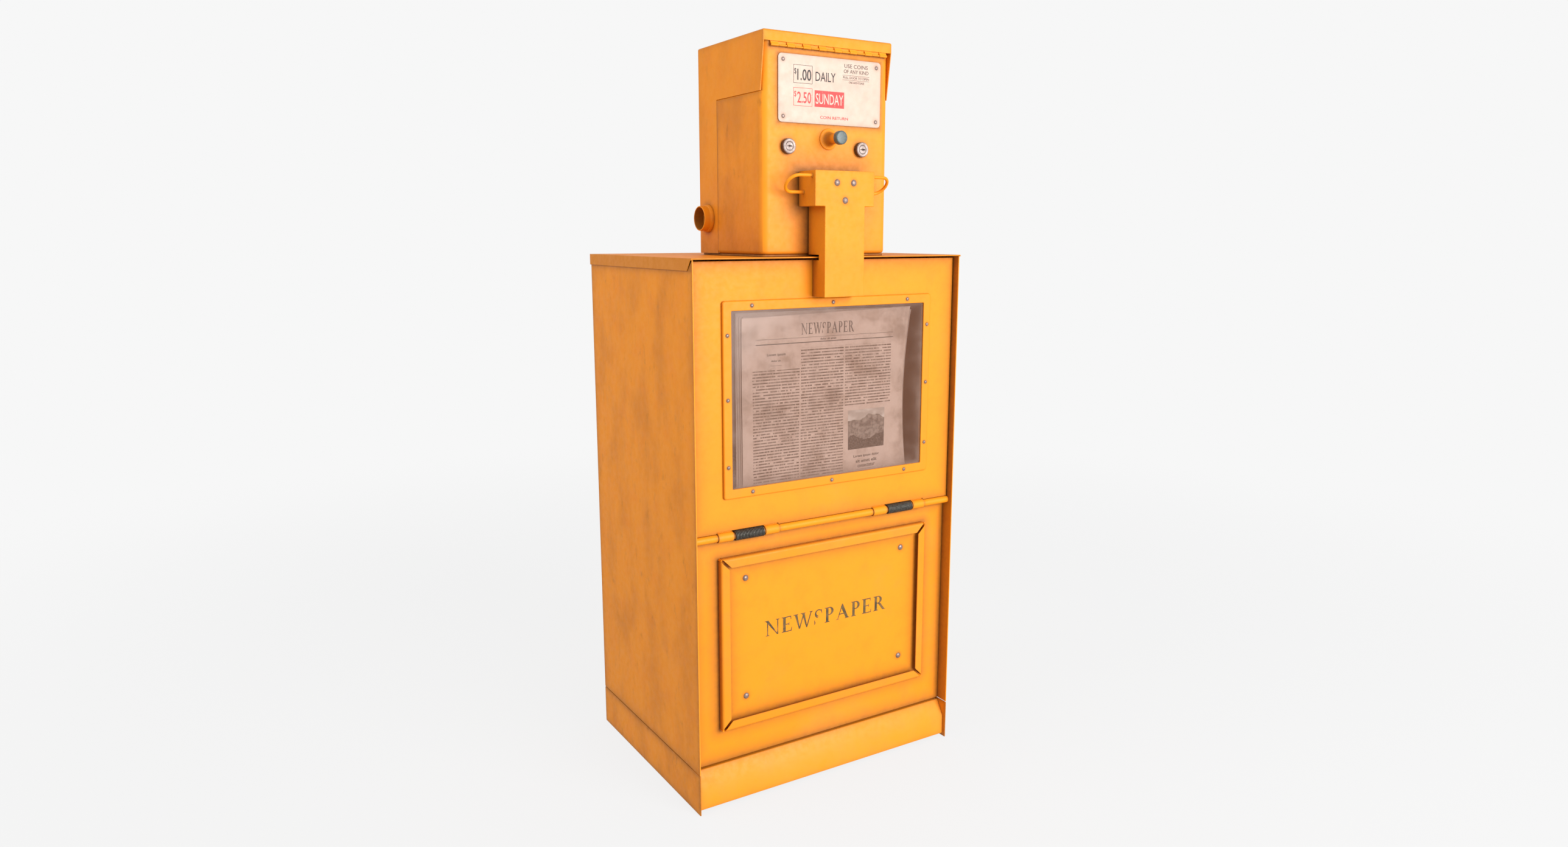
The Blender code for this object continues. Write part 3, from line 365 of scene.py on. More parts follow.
# --- Materials ---
class Finish:
    """A material being built: short names for its nodes, and object coordinates to place them by."""

    def __init__(self, name, roughness=0.5, metallic=0.0, specular=0.5):
        self.material = bpy.data.materials.new(name)
        self.material.use_nodes = True
        self.tree = self.material.node_tree
        self.shader = self.tree.nodes["Principled BSDF"]
        for socket, value in (("Roughness", roughness), ("Metallic", metallic), ("Specular IOR Level", specular)):
            self.shader.inputs[socket].default_value = value
        self.place = self.node("ShaderNodeTexCoord").outputs["Object"]

    def node(self, kind, **settings):
        made = self.tree.nodes.new(kind)
        for key, value in settings.items():
            setattr(made, key, value)
        return made

    def feed(self, socket, value):
        if isinstance(value, bpy.types.NodeSocket):
            self.tree.links.new(value, socket)
        else:
            socket.default_value = value

    def maths(self, operation, a, b=0.0, clamp=False):
        made = self.node("ShaderNodeMath", operation=operation, use_clamp=clamp)
        self.feed(made.inputs[0], a)
        self.feed(made.inputs[1], b)
        return made.outputs[0]

    def most(self, a, b):
        return b if a is None else self.maths("MAXIMUM", a, b)

    def vector(self, operation, a, b=(0.0, 0.0, 0.0), out="Vector"):
        made = self.node("ShaderNodeVectorMath", operation=operation)
        self.feed(made.inputs[0], a)
        self.feed(made.inputs[1], b)
        return made.outputs[out]

    def split(self, vector):
        parts = self.node("ShaderNodeSeparateXYZ")
        self.feed(parts.inputs[0], vector)
        return parts.outputs

    def noise(self, scale, detail=3.0, stretch=(1, 1, 1), shift=0.0, rough=0.5, at=None):
        """Noise of so many features a metre."""
        where = self.vector("MULTIPLY", at or self.place, stretch)
        where = self.vector("ADD", where, (shift, shift * 1.7, shift * 0.6))
        made = self.node("ShaderNodeTexNoise")
        for socket, value in (("Vector", where), ("Scale", scale), ("Detail", detail), ("Roughness", rough)):
            self.feed(made.inputs[socket], value)
        return made.outputs["Fac"]

    def ramp(self, value, low, high, start=0.0, end=1.0):
        made = self.node("ShaderNodeMapRange", interpolation_type="SMOOTHSTEP")
        for socket, given in zip(("Value", "From Min", "From Max", "To Min", "To Max"), (value, low, high, start, end)):
            self.feed(made.inputs[socket], given)
        return made.outputs["Result"]

    def mix(self, factor, a, b):
        made = self.node("ShaderNodeMix", data_type="RGBA")
        for socket, given in zip((made.inputs["Factor"], made.inputs[6], made.inputs[7]), (factor, a, b)):
            self.feed(socket, (*given, 1.0) if isinstance(given, tuple) else given)
        return made.outputs[2]

    def mottle(self, colour, other, scale, detail, low, high, start=0.0, end=1.0, **look):
        """The first colour with patches of the other."""
        return self.mix(self.ramp(self.noise(scale, detail, **look), low, high, start, end), colour, other)

    def bump(self, height, strength, distance, under=None):
        made = self.node("ShaderNodeBump")
        for socket, value in (("Strength", strength), ("Distance", distance), ("Height", height)):
            self.feed(made.inputs[socket], value)
        if under:
            self.feed(made.inputs["Normal"], under)
        return made.outputs["Normal"]

    def done(self, colour, roughness=None, normal=None):
        for socket, value in (("Base Color", colour), ("Roughness", roughness), ("Normal", normal)):
            if value is not None:
                self.feed(self.shader.inputs[socket], value)
        return self.material

    def near(self, boxes):
        """How near a point is to any of (low, high, round, spread, strength) boxes, grown by a round radius:
        strength at the box, falling off. A sixth entry, an axis, makes a box hollow seen along that axis."""
        total = None
        for low, high, radius, spread, strength, *hollow in boxes:
            beyond = self.vector("ABSOLUTE", self.vector("SUBTRACT", self.place, tuple((low + high) / 2)))
            beyond = self.vector("SUBTRACT", beyond, tuple((high - low) / 2))
            away = self.vector("LENGTH", self.vector("MAXIMUM", beyond, (0, 0, 0)), out="Value")
            if hollow:
                parts = self.split(beyond)
                first, second = AXES[hollow[0]]
                within = self.maths("MAXIMUM", parts[first], parts[second])
                away = self.maths("SUBTRACT", away, self.maths("MINIMUM", within, 0.0))
            if radius:
                away = self.maths("MAXIMUM", self.maths("SUBTRACT", away, radius), 0.0)
            total = self.most(total, self.fall_off(away, spread, strength))
        return total

    def fall_off(self, away, spread, strength):
        return self.maths("MULTIPLY", self.maths("EXPONENT", self.maths("MULTIPLY", away, -1 / spread)), strength)

    def inside_rim(self, low, high, spread, strength, facing=None):
        """How near a point is to the edges of the box that it is in, seen along its thinnest side or the given one."""
        half = (high - low) / 2
        thin = "XYZ".index(facing) if facing else min(range(3), key=lambda axis: half[axis])
        reach = tuple(1.0 if axis == thin else half[axis] for axis in range(3))
        away = self.vector("ABSOLUTE", self.vector("SUBTRACT", self.place, tuple((low + high) / 2)))
        parts = self.split(self.vector("SUBTRACT", reach, away))
        away = self.maths("MINIMUM", self.maths("MINIMUM", parts[0], parts[1]), parts[2])
        return self.fall_off(self.maths("MAXIMUM", away, 0.0), spread, strength)


GOLD = (0.80, 0.262, 0.008)       # clean enamel
# the paler tone of a film of dust, which on front-facing pieces also stands in for painted sheen
DUST_AND_SHEEN = (0.80, 0.285, 0.034)      # the same under a film of dust
DEEP = (0.75, 0.195, 0.008)       # where it has gone orange
CLOUDS = (0.46, 0.135, 0.010)     # broad stains on the sides
SMEARS = (0.30, 0.105, 0.012)     # small stains on the sides
# the dark brown that the paint turns near other parts and along edges: painted shade together with soiling
SHADE_AND_GRIME = (0.115, 0.045, 0.016)
FULLY = 1.0                       # a spread so wide that the whole piece is covered


def around(node, spread, strength, grow=0.0, hollow=()):
    """A CAD node's box as a source of darkening on the sheet that it stands on: painted shade together with soiling."""
    low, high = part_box(node)
    return low - Vector((grow,) * 3), high + Vector((grow,) * 3), 0.0, spread, strength, *hollow


def rim_of(node, spread, strength, *facing):
    """The edges of a CAD node's box as a source of darkening: painted shade together with soiling."""
    return *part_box(node), spread, strength, *facing


def pull_outline(spread, strength):
    """The T-shaped pull's head and column as sources of painted shadow and shade, with soiling; what is behind them is
    as dark as their edges.
    """
    head_bottom, column_half = 0.9810, 0.0380
    low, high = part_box("t_handle")
    return [(Vector((low.x, low.y, head_bottom)), high, 0.0, spread, strength),
            (Vector((-column_half, low.y, low.z)), Vector((column_half, high.y, high.z)), 0.0, spread, strength)]


def disc(node, spread, strength):
    """A round CAD node on a sheet as a source of darkening: painted shade together with soiling."""
    low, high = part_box(node)
    middle = (low + high) / 2
    return middle, middle, sorted((high - low) / 2)[1], spread, strength


def spot(x, y, z, radius, spread, strength):
    """A rivet as a source of darkening: painted shade together with soiling."""
    centre = Vector((x, y, z)) + TO_ROW
    return centre, centre, radius, spread, strength


def paint(name, grime_and_shade_sources=(), rims=(), streaks=0.0, dust=0.5, shift=0.0, rim_clear_of_dust_and_sheen=None):
    """Yellow enamel: mottled and dusty, darkened near the given places and along the given rims by painted shade
    together with soiling; streaks is how stained a side is; dust is how much of the paler dust tone it gets, which on
    front-facing pieces also stands in for a painted sheen.
    """
    f = Finish(f"paint_{name}", specular=0.20)
    patch = f.noise(26.0, 4.0, shift=shift + 3, rough=0.6)
    cloud = f.noise(95.0, 5.0, shift=shift + 5, rough=0.65)
    grain = f.noise(900.0, 3.0, shift=shift)
    film = f.maths("ADD", f.maths("MULTIPLY", f.noise(7.0, 3.0, shift=shift), 0.6), f.maths("MULTIPLY", patch, 0.4))
    colour = f.mix(f.ramp(film, 0.56 - 0.30 * dust, 0.98 - 0.30 * dust), GOLD, DUST_AND_SHEEN)
    for tone, low, high, start, end, other in (
        (patch, 0.40, 0.85, 0.0, 0.40, DEEP), (cloud, 0.45, 0.85, 0.0, 0.16, DEEP),
        (cloud, 0.15, 0.45, 0.22, 0.0, GOLD), (grain, 0.35, 0.75, 0.0, 0.10, DEEP),
    ):
        colour = f.mix(f.ramp(tone, low, high, start, end), colour, other)
    # near the given rim the plain gold stays, without the paler dust tone and its painted sheen
    if rim_clear_of_dust_and_sheen:
        colour = f.mix(f.inside_rim(*rim_clear_of_dust_and_sheen), colour, GOLD)
    if streaks:
        colour = f.mottle(colour, CLOUDS, 1.0, 5.0, 0.38, 0.76, end=streaks, stretch=(15, 15, 8), shift=shift,
                          rough=0.60)
        colour = f.mottle(colour, SMEARS, 1.0, 5.0, 0.56, 0.80, end=streaks, stretch=(60, 60, 30), shift=shift + 1.9,
                          rough=0.68)
    # darker near the given places and along the rims: painted shade together with soiling, plus random specks
    grime_and_shade = f.near(grime_and_shade_sources)
    for rim in rims:
        grime_and_shade = f.most(grime_and_shade, f.inside_rim(*rim))
    specks = f.ramp(f.noise(320.0, 4.0, shift=shift + 9, rough=0.7), 0.60, 0.82, 0.0, 0.09)
    if grime_and_shade is None:
        grime_and_shade = specks
    else:
        grime_and_shade = f.maths("MULTIPLY", grime_and_shade, f.ramp(cloud, 0.25, 0.70, 0.86, 1.05))
        grime_and_shade = f.maths("ADD", grime_and_shade, specks, clamp=True)
    peel = f.bump(f.noise(420.0, 2.0, shift=shift), 0.35, 0.00006)
    return f.done(f.mix(grime_and_shade, colour, SHADE_AND_GRIME), f.ramp(cloud, 0.3, 0.7, 0.40, 0.56), f.bump(grain, 0.30, 0.00004, peel))


def metal(name, colour, dark, roughness, scale, metallic):
    f = Finish(f"metal_{name}", roughness, metallic)
    worn = f.ramp(f.noise(scale * 0.6, 3.0, shift=2.0), 0.3, 0.7, roughness - 0.08, roughness + 0.14)
    return f.done(f.mottle(colour, dark, scale, 4.0, 0.35, 0.70, rough=0.6), worn,
                  f.bump(f.noise(scale * 3, 3.0), 0.25, 0.00004))


def zinc_spangle(name, base, pale, roughness):
    """Galvanised sheet: flat crystals of slightly different greys."""
    f = Finish(f"metal_{name}", roughness, 0.85)
    cells = f.node("ShaderNodeTexVoronoi")
    f.feed(cells.inputs["Vector"], f.place)
    cells.inputs["Scale"].default_value = 95.0
    parts = f.node("ShaderNodeSeparateColor")
    f.feed(parts.inputs[0], cells.outputs["Color"])
    shade = f.mottle(f.mix(parts.outputs[0], base, pale), (0.24, 0.21, 0.18), 40.0, 4.0, 0.45, 0.8, end=0.22)
    return f.done(shade, f.ramp(parts.outputs[1], 0.0, 1.0, roughness - 0.08, roughness + 0.12),
                  f.bump(f.noise(600.0, 3.0), 0.2, 0.00003))


def plastic(name, colour, pale):
    f = Finish(f"plastic_{name}", 0.42)
    worn = f.ramp(f.noise(260.0, 5.0, rough=0.65), 0.42, 0.75)
    return f.done(f.mix(worn, colour, pale), f.ramp(worn, 0.0, 1.0, 0.34, 0.58),
                  f.bump(f.noise(1500.0, 2.0), 0.35, 0.00005))


def ink(name, colour, paper, wear):
    """Print that has faded and flaked off to the colour under it."""
    f = Finish(f"ink_{name}", 0.6)
    shade = f.mottle(colour, paper, 260.0, 6.0, 0.62 - 0.3 * wear, 0.80 - 0.3 * wear, end=0.9, rough=0.7)
    return f.done(shade, normal=f.bump(f.noise(900.0, 2.0), 0.2, 0.00003))


def stained_card(name, grime_and_shade_sources, rims):
    """Off-white enamelled plate with pinkish stains, darkened near the given places and rims by painted shade together
    with soiling.
    """
    f = Finish(f"plate_{name}", 0.42, specular=0.4)
    colour = f.mottle((0.555, 0.405, 0.320), (0.55, 0.365, 0.290), 38.0, 5.0, 0.42, 0.72, rough=0.6)
    colour = f.mottle(colour, (0.60, 0.40, 0.26), 120.0, 5.0, 0.5, 0.8, end=0.35, shift=4, rough=0.7)
    # darker near the given places and along the rims: painted shade together with soiling
    grime_and_shade = f.near(grime_and_shade_sources)
    for rim in rims:
        grime_and_shade = f.most(grime_and_shade, f.inside_rim(*rim))
    return f.done(f.mix(grime_and_shade, colour, (0.24, 0.12, 0.06)), f.ramp(f.noise(90.0, 3.0), 0.3, 0.7, 0.34, 0.55),
                  f.bump(f.noise(500.0, 3.0), 0.15, 0.00004))


LINE_PITCH = 0.0049       # of the newspapers' lines of text


def newsprint(name, columns=(), smudges=True, lines=False, tone=1.0, lying=False):
    """Newsprint. columns are (x0, x1, z0, z1) areas of greeked text, with y for z on a lying paper; lines shows the
    sheets at a folded edge."""
    f = Finish(f"newsprint_{name}", 0.92, specular=0.15)
    pulp = f.noise(700.0, 4.0, stretch=(1, 1, 2.5), rough=0.7)
    pale, dull = (tuple(Vector(shade) * tone) for shade in ((0.58, 0.425, 0.355), (0.50, 0.360, 0.295)))
    colour = f.mix(f.ramp(pulp, 0.3, 0.7), pale, dull)
    if smudges:
        colour = f.mottle(colour, (0.20, 0.125, 0.09), 16.0, 5.0, 0.44, 0.72, end=0.68, shift=2.3, rough=0.62)
        colour = f.mottle(colour, (0.33, 0.22, 0.16), 44.0, 5.0, 0.46, 0.76, end=0.40, shift=6.1, rough=0.6)
    parts = f.split(f.place)
    x, z = parts[0], parts[1 if lying else 2]
    if lines:
        edge = f.maths("FRACT", f.maths("MULTIPLY", z, 900.0))
        colour = f.mix(f.ramp(edge, 0.55, 0.95, 0.0, 0.55), colour, (0.20, 0.15, 0.12))
    printed = None
    row = f.maths("DIVIDE", z, LINE_PITCH)
    inked = f.maths("FRACT", row)
    stroke = f.maths("MULTIPLY", f.ramp(inked, 0.18, 0.30), f.ramp(inked, 0.60, 0.74, 1.0, 0.0))
    join = f.node("ShaderNodeCombineXYZ")
    f.feed(join.inputs[0], x)
    f.feed(join.inputs[1], f.maths("MULTIPLY", f.maths("FLOOR", row), 0.731))
    letters = f.ramp(f.noise(1.0, 2.0, (520.0, 13.0, 0.0), at=join.outputs[0]), 0.34, 0.46)
    words = f.ramp(f.noise(1.0, 1.0, (105.0, 7.0, 0.0), at=join.outputs[0]), 0.33, 0.37)
    written = f.maths("MULTIPLY", f.maths("MULTIPLY", letters, words), stroke)
    for x0, x1, z0, z1 in columns:
        text = written
        for value, low, high in ((x, x0, x1), (z, z0, z1)):
            text = f.maths("MULTIPLY", text, f.maths("GREATER_THAN", value, low))
            text = f.maths("MULTIPLY", text, f.maths("LESS_THAN", value, high))
        printed = f.most(printed, text)
    if columns:
        faded = f.ramp(f.noise(60.0, 3.0, shift=8), 0.3, 0.7, 0.62, 0.95)
        colour = f.mix(f.maths("MULTIPLY", printed, faded), colour, (0.075, 0.050, 0.040))
    crease = f.bump(f.noise(22.0, 4.0, shift=1), 0.25, 0.0012)
    return f.done(colour, normal=f.bump(pulp, 0.25, 0.00008, crease))


def clear_pane():
    """The window's pane: clear sheet, tinted with age, with dust near its edges."""
    f = Finish("clear_pane", 0.14)
    haze = f.ramp(f.noise(30.0, 4.0), 0.35, 0.75)
    dust = f.maths("ADD", f.inside_rim(*rim_of("window_pane", 0.010, 0.7)), f.maths("MULTIPLY", haze, 0.25), clamp=True)
    f.feed(f.shader.inputs["Alpha"], f.ramp(dust, 0.0, 1.0, 0.17, 0.46))
    return f.done(f.mix(dust, (0.27, 0.130, 0.080), (0.36, 0.25, 0.20)), f.ramp(dust, 0.0, 1.0, 0.10, 0.45),
                  f.bump(f.noise(14.0, 2.0), 0.05, 0.002))


steel = metal("steel", (0.31, 0.225, 0.200), (0.17, 0.115, 0.095), 0.40, 500.0, 0.55)
lock_face = metal("lock_face", (0.37, 0.295, 0.265), (0.26, 0.195, 0.170), 0.46, 240.0, 0.40)
lock_case = metal("lock_case", (0.13, 0.080, 0.062), (0.070, 0.040, 0.030), 0.46, 240.0, 0.6)
spring_steel = metal("spring", (0.100, 0.094, 0.080), (0.050, 0.044, 0.036), 0.42, 300.0, 0.5)
galvanised = zinc_spangle("galvanised", (0.43, 0.43, 0.42), (0.52, 0.52, 0.50), 0.44)
slate = plastic("slate", (0.060, 0.082, 0.080), (0.115, 0.140, 0.134))

RIVET_HEIGHT = 0.0025


def rivets(name, places, radius, height, face, body="cabinet"):
    mesh = bmesh.new()
    for x, z in places:
        add_dome(mesh, radius, height, x, face, z)
    finish_piece(name, mesh, steel, body)


# --- Base and cabinet ---
def base():
    for side in SIDES:
        node = f"base_skirt_{side}"
        # the skirts darken along their rims: painted shade together with soiling
        coat = paint(f"skirt_{side}", rims=[rim_of(node, 0.006, 0.55)], streaks=0.45, dust=0.2, shift=1.3)
        refine(node, coat, 0.0006)
    # the kick plate darkens under the lower panel and along its rim: painted shade together with soiling
    coat = paint("kick", [around("lower_front_panel", 0.004, 0.8)], [rim_of("base_kick_plate", 0.004, 0.35)], dust=0.75,
                 shift=2.1)
    # the sloped face gets its own duller copy of the coat, dustier and a little darker all over: painted shade on the
    # slope, with dust
    slope = paint("kick_slope_shaded", [around("lower_front_panel", 0.010, 0.75), around("base_kick_plate", FULLY, 0.15)],
                  dust=1.0, shift=2.4)
    refine("base_kick_plate", [coat, slope], 0.0012, 3, pick=lambda f: 1 if 0.15 < f.normal.z < 0.9 else 0)
    # the back skirt darkens along its rims: painted shade together with soiling
    refine("base_back_skirt", paint("back_skirt", rims=[rim_of("base_back_skirt", 0.006, 0.5)], shift=2.6))
    refine("base_deck", galvanised)


def cabinet_shell():
    for side, facing, shift in (("left", 1, 4.0), ("right", -1, 6.5)):
        node = f"side_panel_{side}"
        # the sides darken under the top cover and along their rims: painted shade together with soiling
        coat = paint(f"side_{side}", [around("top_cover", 0.005, 0.55)], [rim_of(node, 0.007, 0.42)], 0.45, 0.10, shift)
        # the inner faces darken towards the door and lower panel: painted shade in the recess
        inner = paint(f"inner_{side}", [around("door_panel", 0.030, 0.78), around("lower_front_panel", 0.030, 0.66)],
                      [rim_of(node, 0.006, 0.30)], dust=0.20, shift=5.0)
        # the front edge faces get a clean, paler coat without rim darkening: a painted highlight along the lit front
        # edges
        edge = paint(f"edge_{side}", dust=0.8, shift=8.0)
        refine(node, [coat, inner, edge], 0.0006,
               pick=lambda f: 2 if f.normal.y < -0.4 else 1 if f.normal.x * facing > 0.9 else 0)

    # the back darkens under the top cover and along its rims: painted shade together with soiling
    coat = paint("back", [around("top_cover", 0.006, 0.6)], [rim_of("back_panel", 0.008, 0.45)], 0.36, 0.10, 9.0)
    refine("back_panel", coat)
    foot, face = box_of("back_panel")[0].z, box_of("back_panel")[1].y
    places = [(x, foot + 0.030 + k * 0.1235) for x in (-0.246, 0.246) for k in range(7)]
    places += [(x, foot + 0.014) for x in (-0.15, -0.05, 0.05, 0.15)]
    behind = bmesh.new()
    for x, z in places:
        add_dome(behind, 0.0042, 0.0013, x, 0.0, z)
    for vert in behind.verts:
        vert.co.y = face - vert.co.y
    finish_piece("back_panel_rivets", behind, coat)

    # the cabinet floor darkens towards its edges: painted shade in the corners together with soiling
    refine("cabinet_floor", paint("floor", rims=[rim_of("cabinet_floor", 0.02, 0.6)], shift=3.3))
    # the top darkens round the coin box's foot and along its rims: painted shade together with soiling
    refine("top_cover", paint("top", [around("coin_box_floor", 0.008, 0.75)], [rim_of("top_cover", 0.006, 0.30)],
                              dust=0.30, shift=5.1))
    # the lower panel darkens round the card frame, by the hinge rod and along its rims: painted shade together with
    # soiling
    card_frame_box = (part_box("card_rail_left")[0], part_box("card_rail_right")[1], 0.0, 0.0105, 0.84)
    coat = paint("lower_panel", [card_frame_box, around("hinge_rod", 0.008, 0.55)],
                 [rim_of("lower_front_panel", 0.0110, 0.70)], dust=0.60, shift=7.7)
    refine("lower_front_panel", coat, 0.0012, 3)


def card_frame():
    # the card plate darkens along the rails and round its rivets: painted shade together with soiling
    sources = [around(f"card_rail_{side}", 0.010, 0.62) for side in ("top", "bottom", "left", "right")]
    middle = centre_of("card_plate")
    places = [(middle.x + sx * 0.1600, middle.z + 0.0045 + sz * 0.1030) for sx in (-1, 1) for sz in (-1, 1)]
    sources += [spot(x, CARD_Y, z, 0.0045, 0.0030, 0.60) for x, z in places]
    refine("card_plate", paint("card", sources, dust=0.10, shift=11.4), 0.0003, front=CARD_Y)
    rivets("card_plate_rivets", places, 0.0050, RIVET_HEIGHT, CARD_Y)
    for number, side in enumerate(("top", "right", "bottom", "left")):
        node = f"card_rail_{side}"
        # each rail darkens towards the lower panel and along its rims: painted shade together with soiling
        coat = paint(node, [around("lower_front_panel", 0.0055, 0.90)], [rim_of(node, 0.0016, 0.40)], dust=0.45,
                     shift=12.0 + number)
        refine(node, coat, 0.0005, 3, angle=30)

    seat, outer_x = box_of("card_plate")[1].y, box_of("card_rail_right")[1].x
    low_z, high_z = box_of("card_rail_bottom")[0].z, box_of("card_rail_top")[1].z
    for name, side, up in (("top_left", -1, 1), ("top_right", 1, 1), ("bottom_left", -1, -1), ("bottom_right", 1, -1)):
        corner = Vector((side * outer_x, seat, high_z if up > 0 else low_z))
        hollow = corner - Vector((side * 0.0075, 0.001, up * 0.0075))
        # darker in the cove's hollow: painted shade
        coat = paint(f"corner_{name}", [spot(*hollow, 0.0, 0.0050, 0.15)], dust=0.5, shift=10.0 + side + 0.3 * up)
        finish_piece(f"card_corner_{name}", loft(card_corner(corner, side, up)), coat, smooth=50)


def card_corner(corner, side, up):
    """The wall and cove seen through the gap between two rails' mitred ends, as rows across the gap."""
    half_gap, radius, wall, height = 0.0021, 0.0033, 0.0013, 0.0096
    clear, reach, soft, softer = 0.0015, 0.0135, 0.0002, 0.0006
    inward = Vector((-side, 0, -up)).normalized()
    across = Vector((-side, 0, up)).normalized()
    rows = []
    for i in range(13):
        w = half_gap * (i / 6 - 1)
        start = radius * math.sqrt(2) - math.sqrt(radius ** 2 - w ** 2)
        inner = start + wall
        profile = [(start, 0.0), (start, height - softer), (start + soft, height - soft), (start + wall / 2, height),
                   (inner - soft, height - soft), (inner, height - softer)]
        for k in range(1, 9):
            t = k / 8
            profile.append((inner + (reach - inner) * t, clear + 0.0003 + (height - 0.0009 - clear) * (1 - t) ** 2.6))
        profile += [(reach, clear), (inner, clear), (inner, 0.0)]
        rows.append([tuple(corner + inward * s + across * w - Vector((0, h, 0))) for s, h in profile])
    return rows


# --- Door ---
def rod_line():
    low, high = box_of("hinge_rod")
    radius, at = (high.z - low.z) / 2, (0, ROD.y, ROD.z)
    nodes = [f"door_knuckle_{n}" for n in range(1, 5)] + [f"door_spring_{side}" for side in SIDES]
    # the rod darkens beside the knuckles and springs: painted shade together with soiling
    coat = paint("rod", [around(node, 0.0022, 0.85) for node in nodes], dust=0.15, shift=14.2)
    bar = lathe(soften(pin(radius, low.x, high.x), 0.0006), "X", at)
    finish_piece("hinge_rod_bar", bar, coat, replaces="hinge_rod")

    inner, behind, strap = radius + GAP, DOOR_Y + THIN + GAP, 0.0018
    for number in range(1, 5):
        node = f"door_knuckle_{number}"
        low, high = box_of(node)
        outer = ROD.z - low.z
        profile = soften([(inner, low.x), (outer, low.x), (outer, high.x), (inner, high.x)], 0.0009, 4)
        tongue = block(low.x + 0.0002, high.x - 0.0002, behind, behind + strap, ROD.z + radius + 0.0008, high.z)
        mesh = carve(lathe(profile, "X", at), [tongue], "UNION")
        # each knuckle darkens along its rims: painted shade together with soiling
        coat = paint(node, rims=[rim_of(node, 0.0016, 0.45)], dust=0.3, shift=15.0 + number)
        finish_piece(f"{node}_barrel", mesh, coat, "door", node)

    wire = 0.00118
    for side in SIDES:
        node = f"door_spring_{side}"
        low, high = box_of(node)
        finish_piece(f"{node}_coil", coil("X", at, inner + wire, low.x, high.x, 20, 24, wire), spring_steel,
                     replaces=node, smooth=60)


def door_sheet():
    # the door darkens round the window frame, under and behind the pull, and by the hinge rod: painted shadow and shade
    # together with soiling
    grime_and_shade_sources = [around("window_frame", 0.0085, 0.66), *pull_outline(0.0120, 0.70), around("hinge_rod", 0.0030, 0.45)]
    coat = paint("door", grime_and_shade_sources, [rim_of("door_panel", 0.0110, 0.62)], dust=0.75, shift=17.5)
    # the inside darkens by the hinge rod and along its rims: painted shade together with soiling
    inside = paint("door_inside", [around("hinge_rod", 0.010, 0.60)], [rim_of("door_panel", 0.0120, 0.50)], dust=0.15,
                   shift=18.2)
    refine("door_panel", [coat, inside], 0.0009, 3, pick=lambda f: 1 if f.normal.y > 0.5 else 0)


def window():
    low, high = box_of("window_frame")
    middle, half = (low + high) / 2, (high - low) / 2
    lap, crown, inner, outer_corner, inner_corner = 0.0045, 0.0026, 0.0012, 0.0045, 0.0014
    rail = half.x - (box_of("window_pane")[1].x - middle.x) + lap - GAP
    back, step = DOOR_Y - GAP, WINDOW_Y + 0.0020
    section = [(0.0, back), (0.0, WINDOW_Y + crown)] + arc((crown, WINDOW_Y + crown), -crown, 18, 90, 4)
    section = [(*point, outer_corner) for point in section]
    lip = arc((rail - inner, WINDOW_Y + inner), inner, -90, 0, 3)
    lip += [(rail, step), (rail - lap, step), (rail - lap, back)]
    section += [(*point, inner_corner) for point in lip]
    outlines = []
    for inset, y, radius in section:
        a, b = half.x - inset, half.z - inset
        outline = rounded(middle.x - a, middle.x + a, middle.z - b, middle.z + b, radius)
        outlines.append([(x, y, z) for x, z in outline])
    line_x, line_z = half.x - rail * 0.52, half.z - rail * 0.52
    places = [(middle.x + sx * 0.1530, middle.z + sz * line_z) for sx in (-1, 0, 1) for sz in (-1, 1)]
    places += [(middle.x + sx * line_x, z) for sx in (-1, 1) for z in (0.5755, 0.6830, 0.7840)]
    # the frame darkens round its rivets, by the pane and where it meets the door sheet: painted shade together with
    # soiling
    sources = [spot(x, WINDOW_Y, z, 0.0026, 0.0018, 0.65) for x, z in places]
    sources += [around("window_pane", 0.0018, 0.45, -0.004), around("door_panel", 0.0021, 0.85)]
    coat = paint("window", sources, dust=0.18, shift=19.1)
    finish_piece("window_frame_moulding", loft(outlines, True), coat, "door", "window_frame", smooth=30)
    rivets("window_frame_rivets", places, 0.0031, 0.0019, WINDOW_Y, "door")

    mesh = from_node("window_pane")
    bevel_sharp(mesh, 0.0003)
    finish_piece("window_pane_sheet", mesh, clear_pane(), "door", "window_pane")


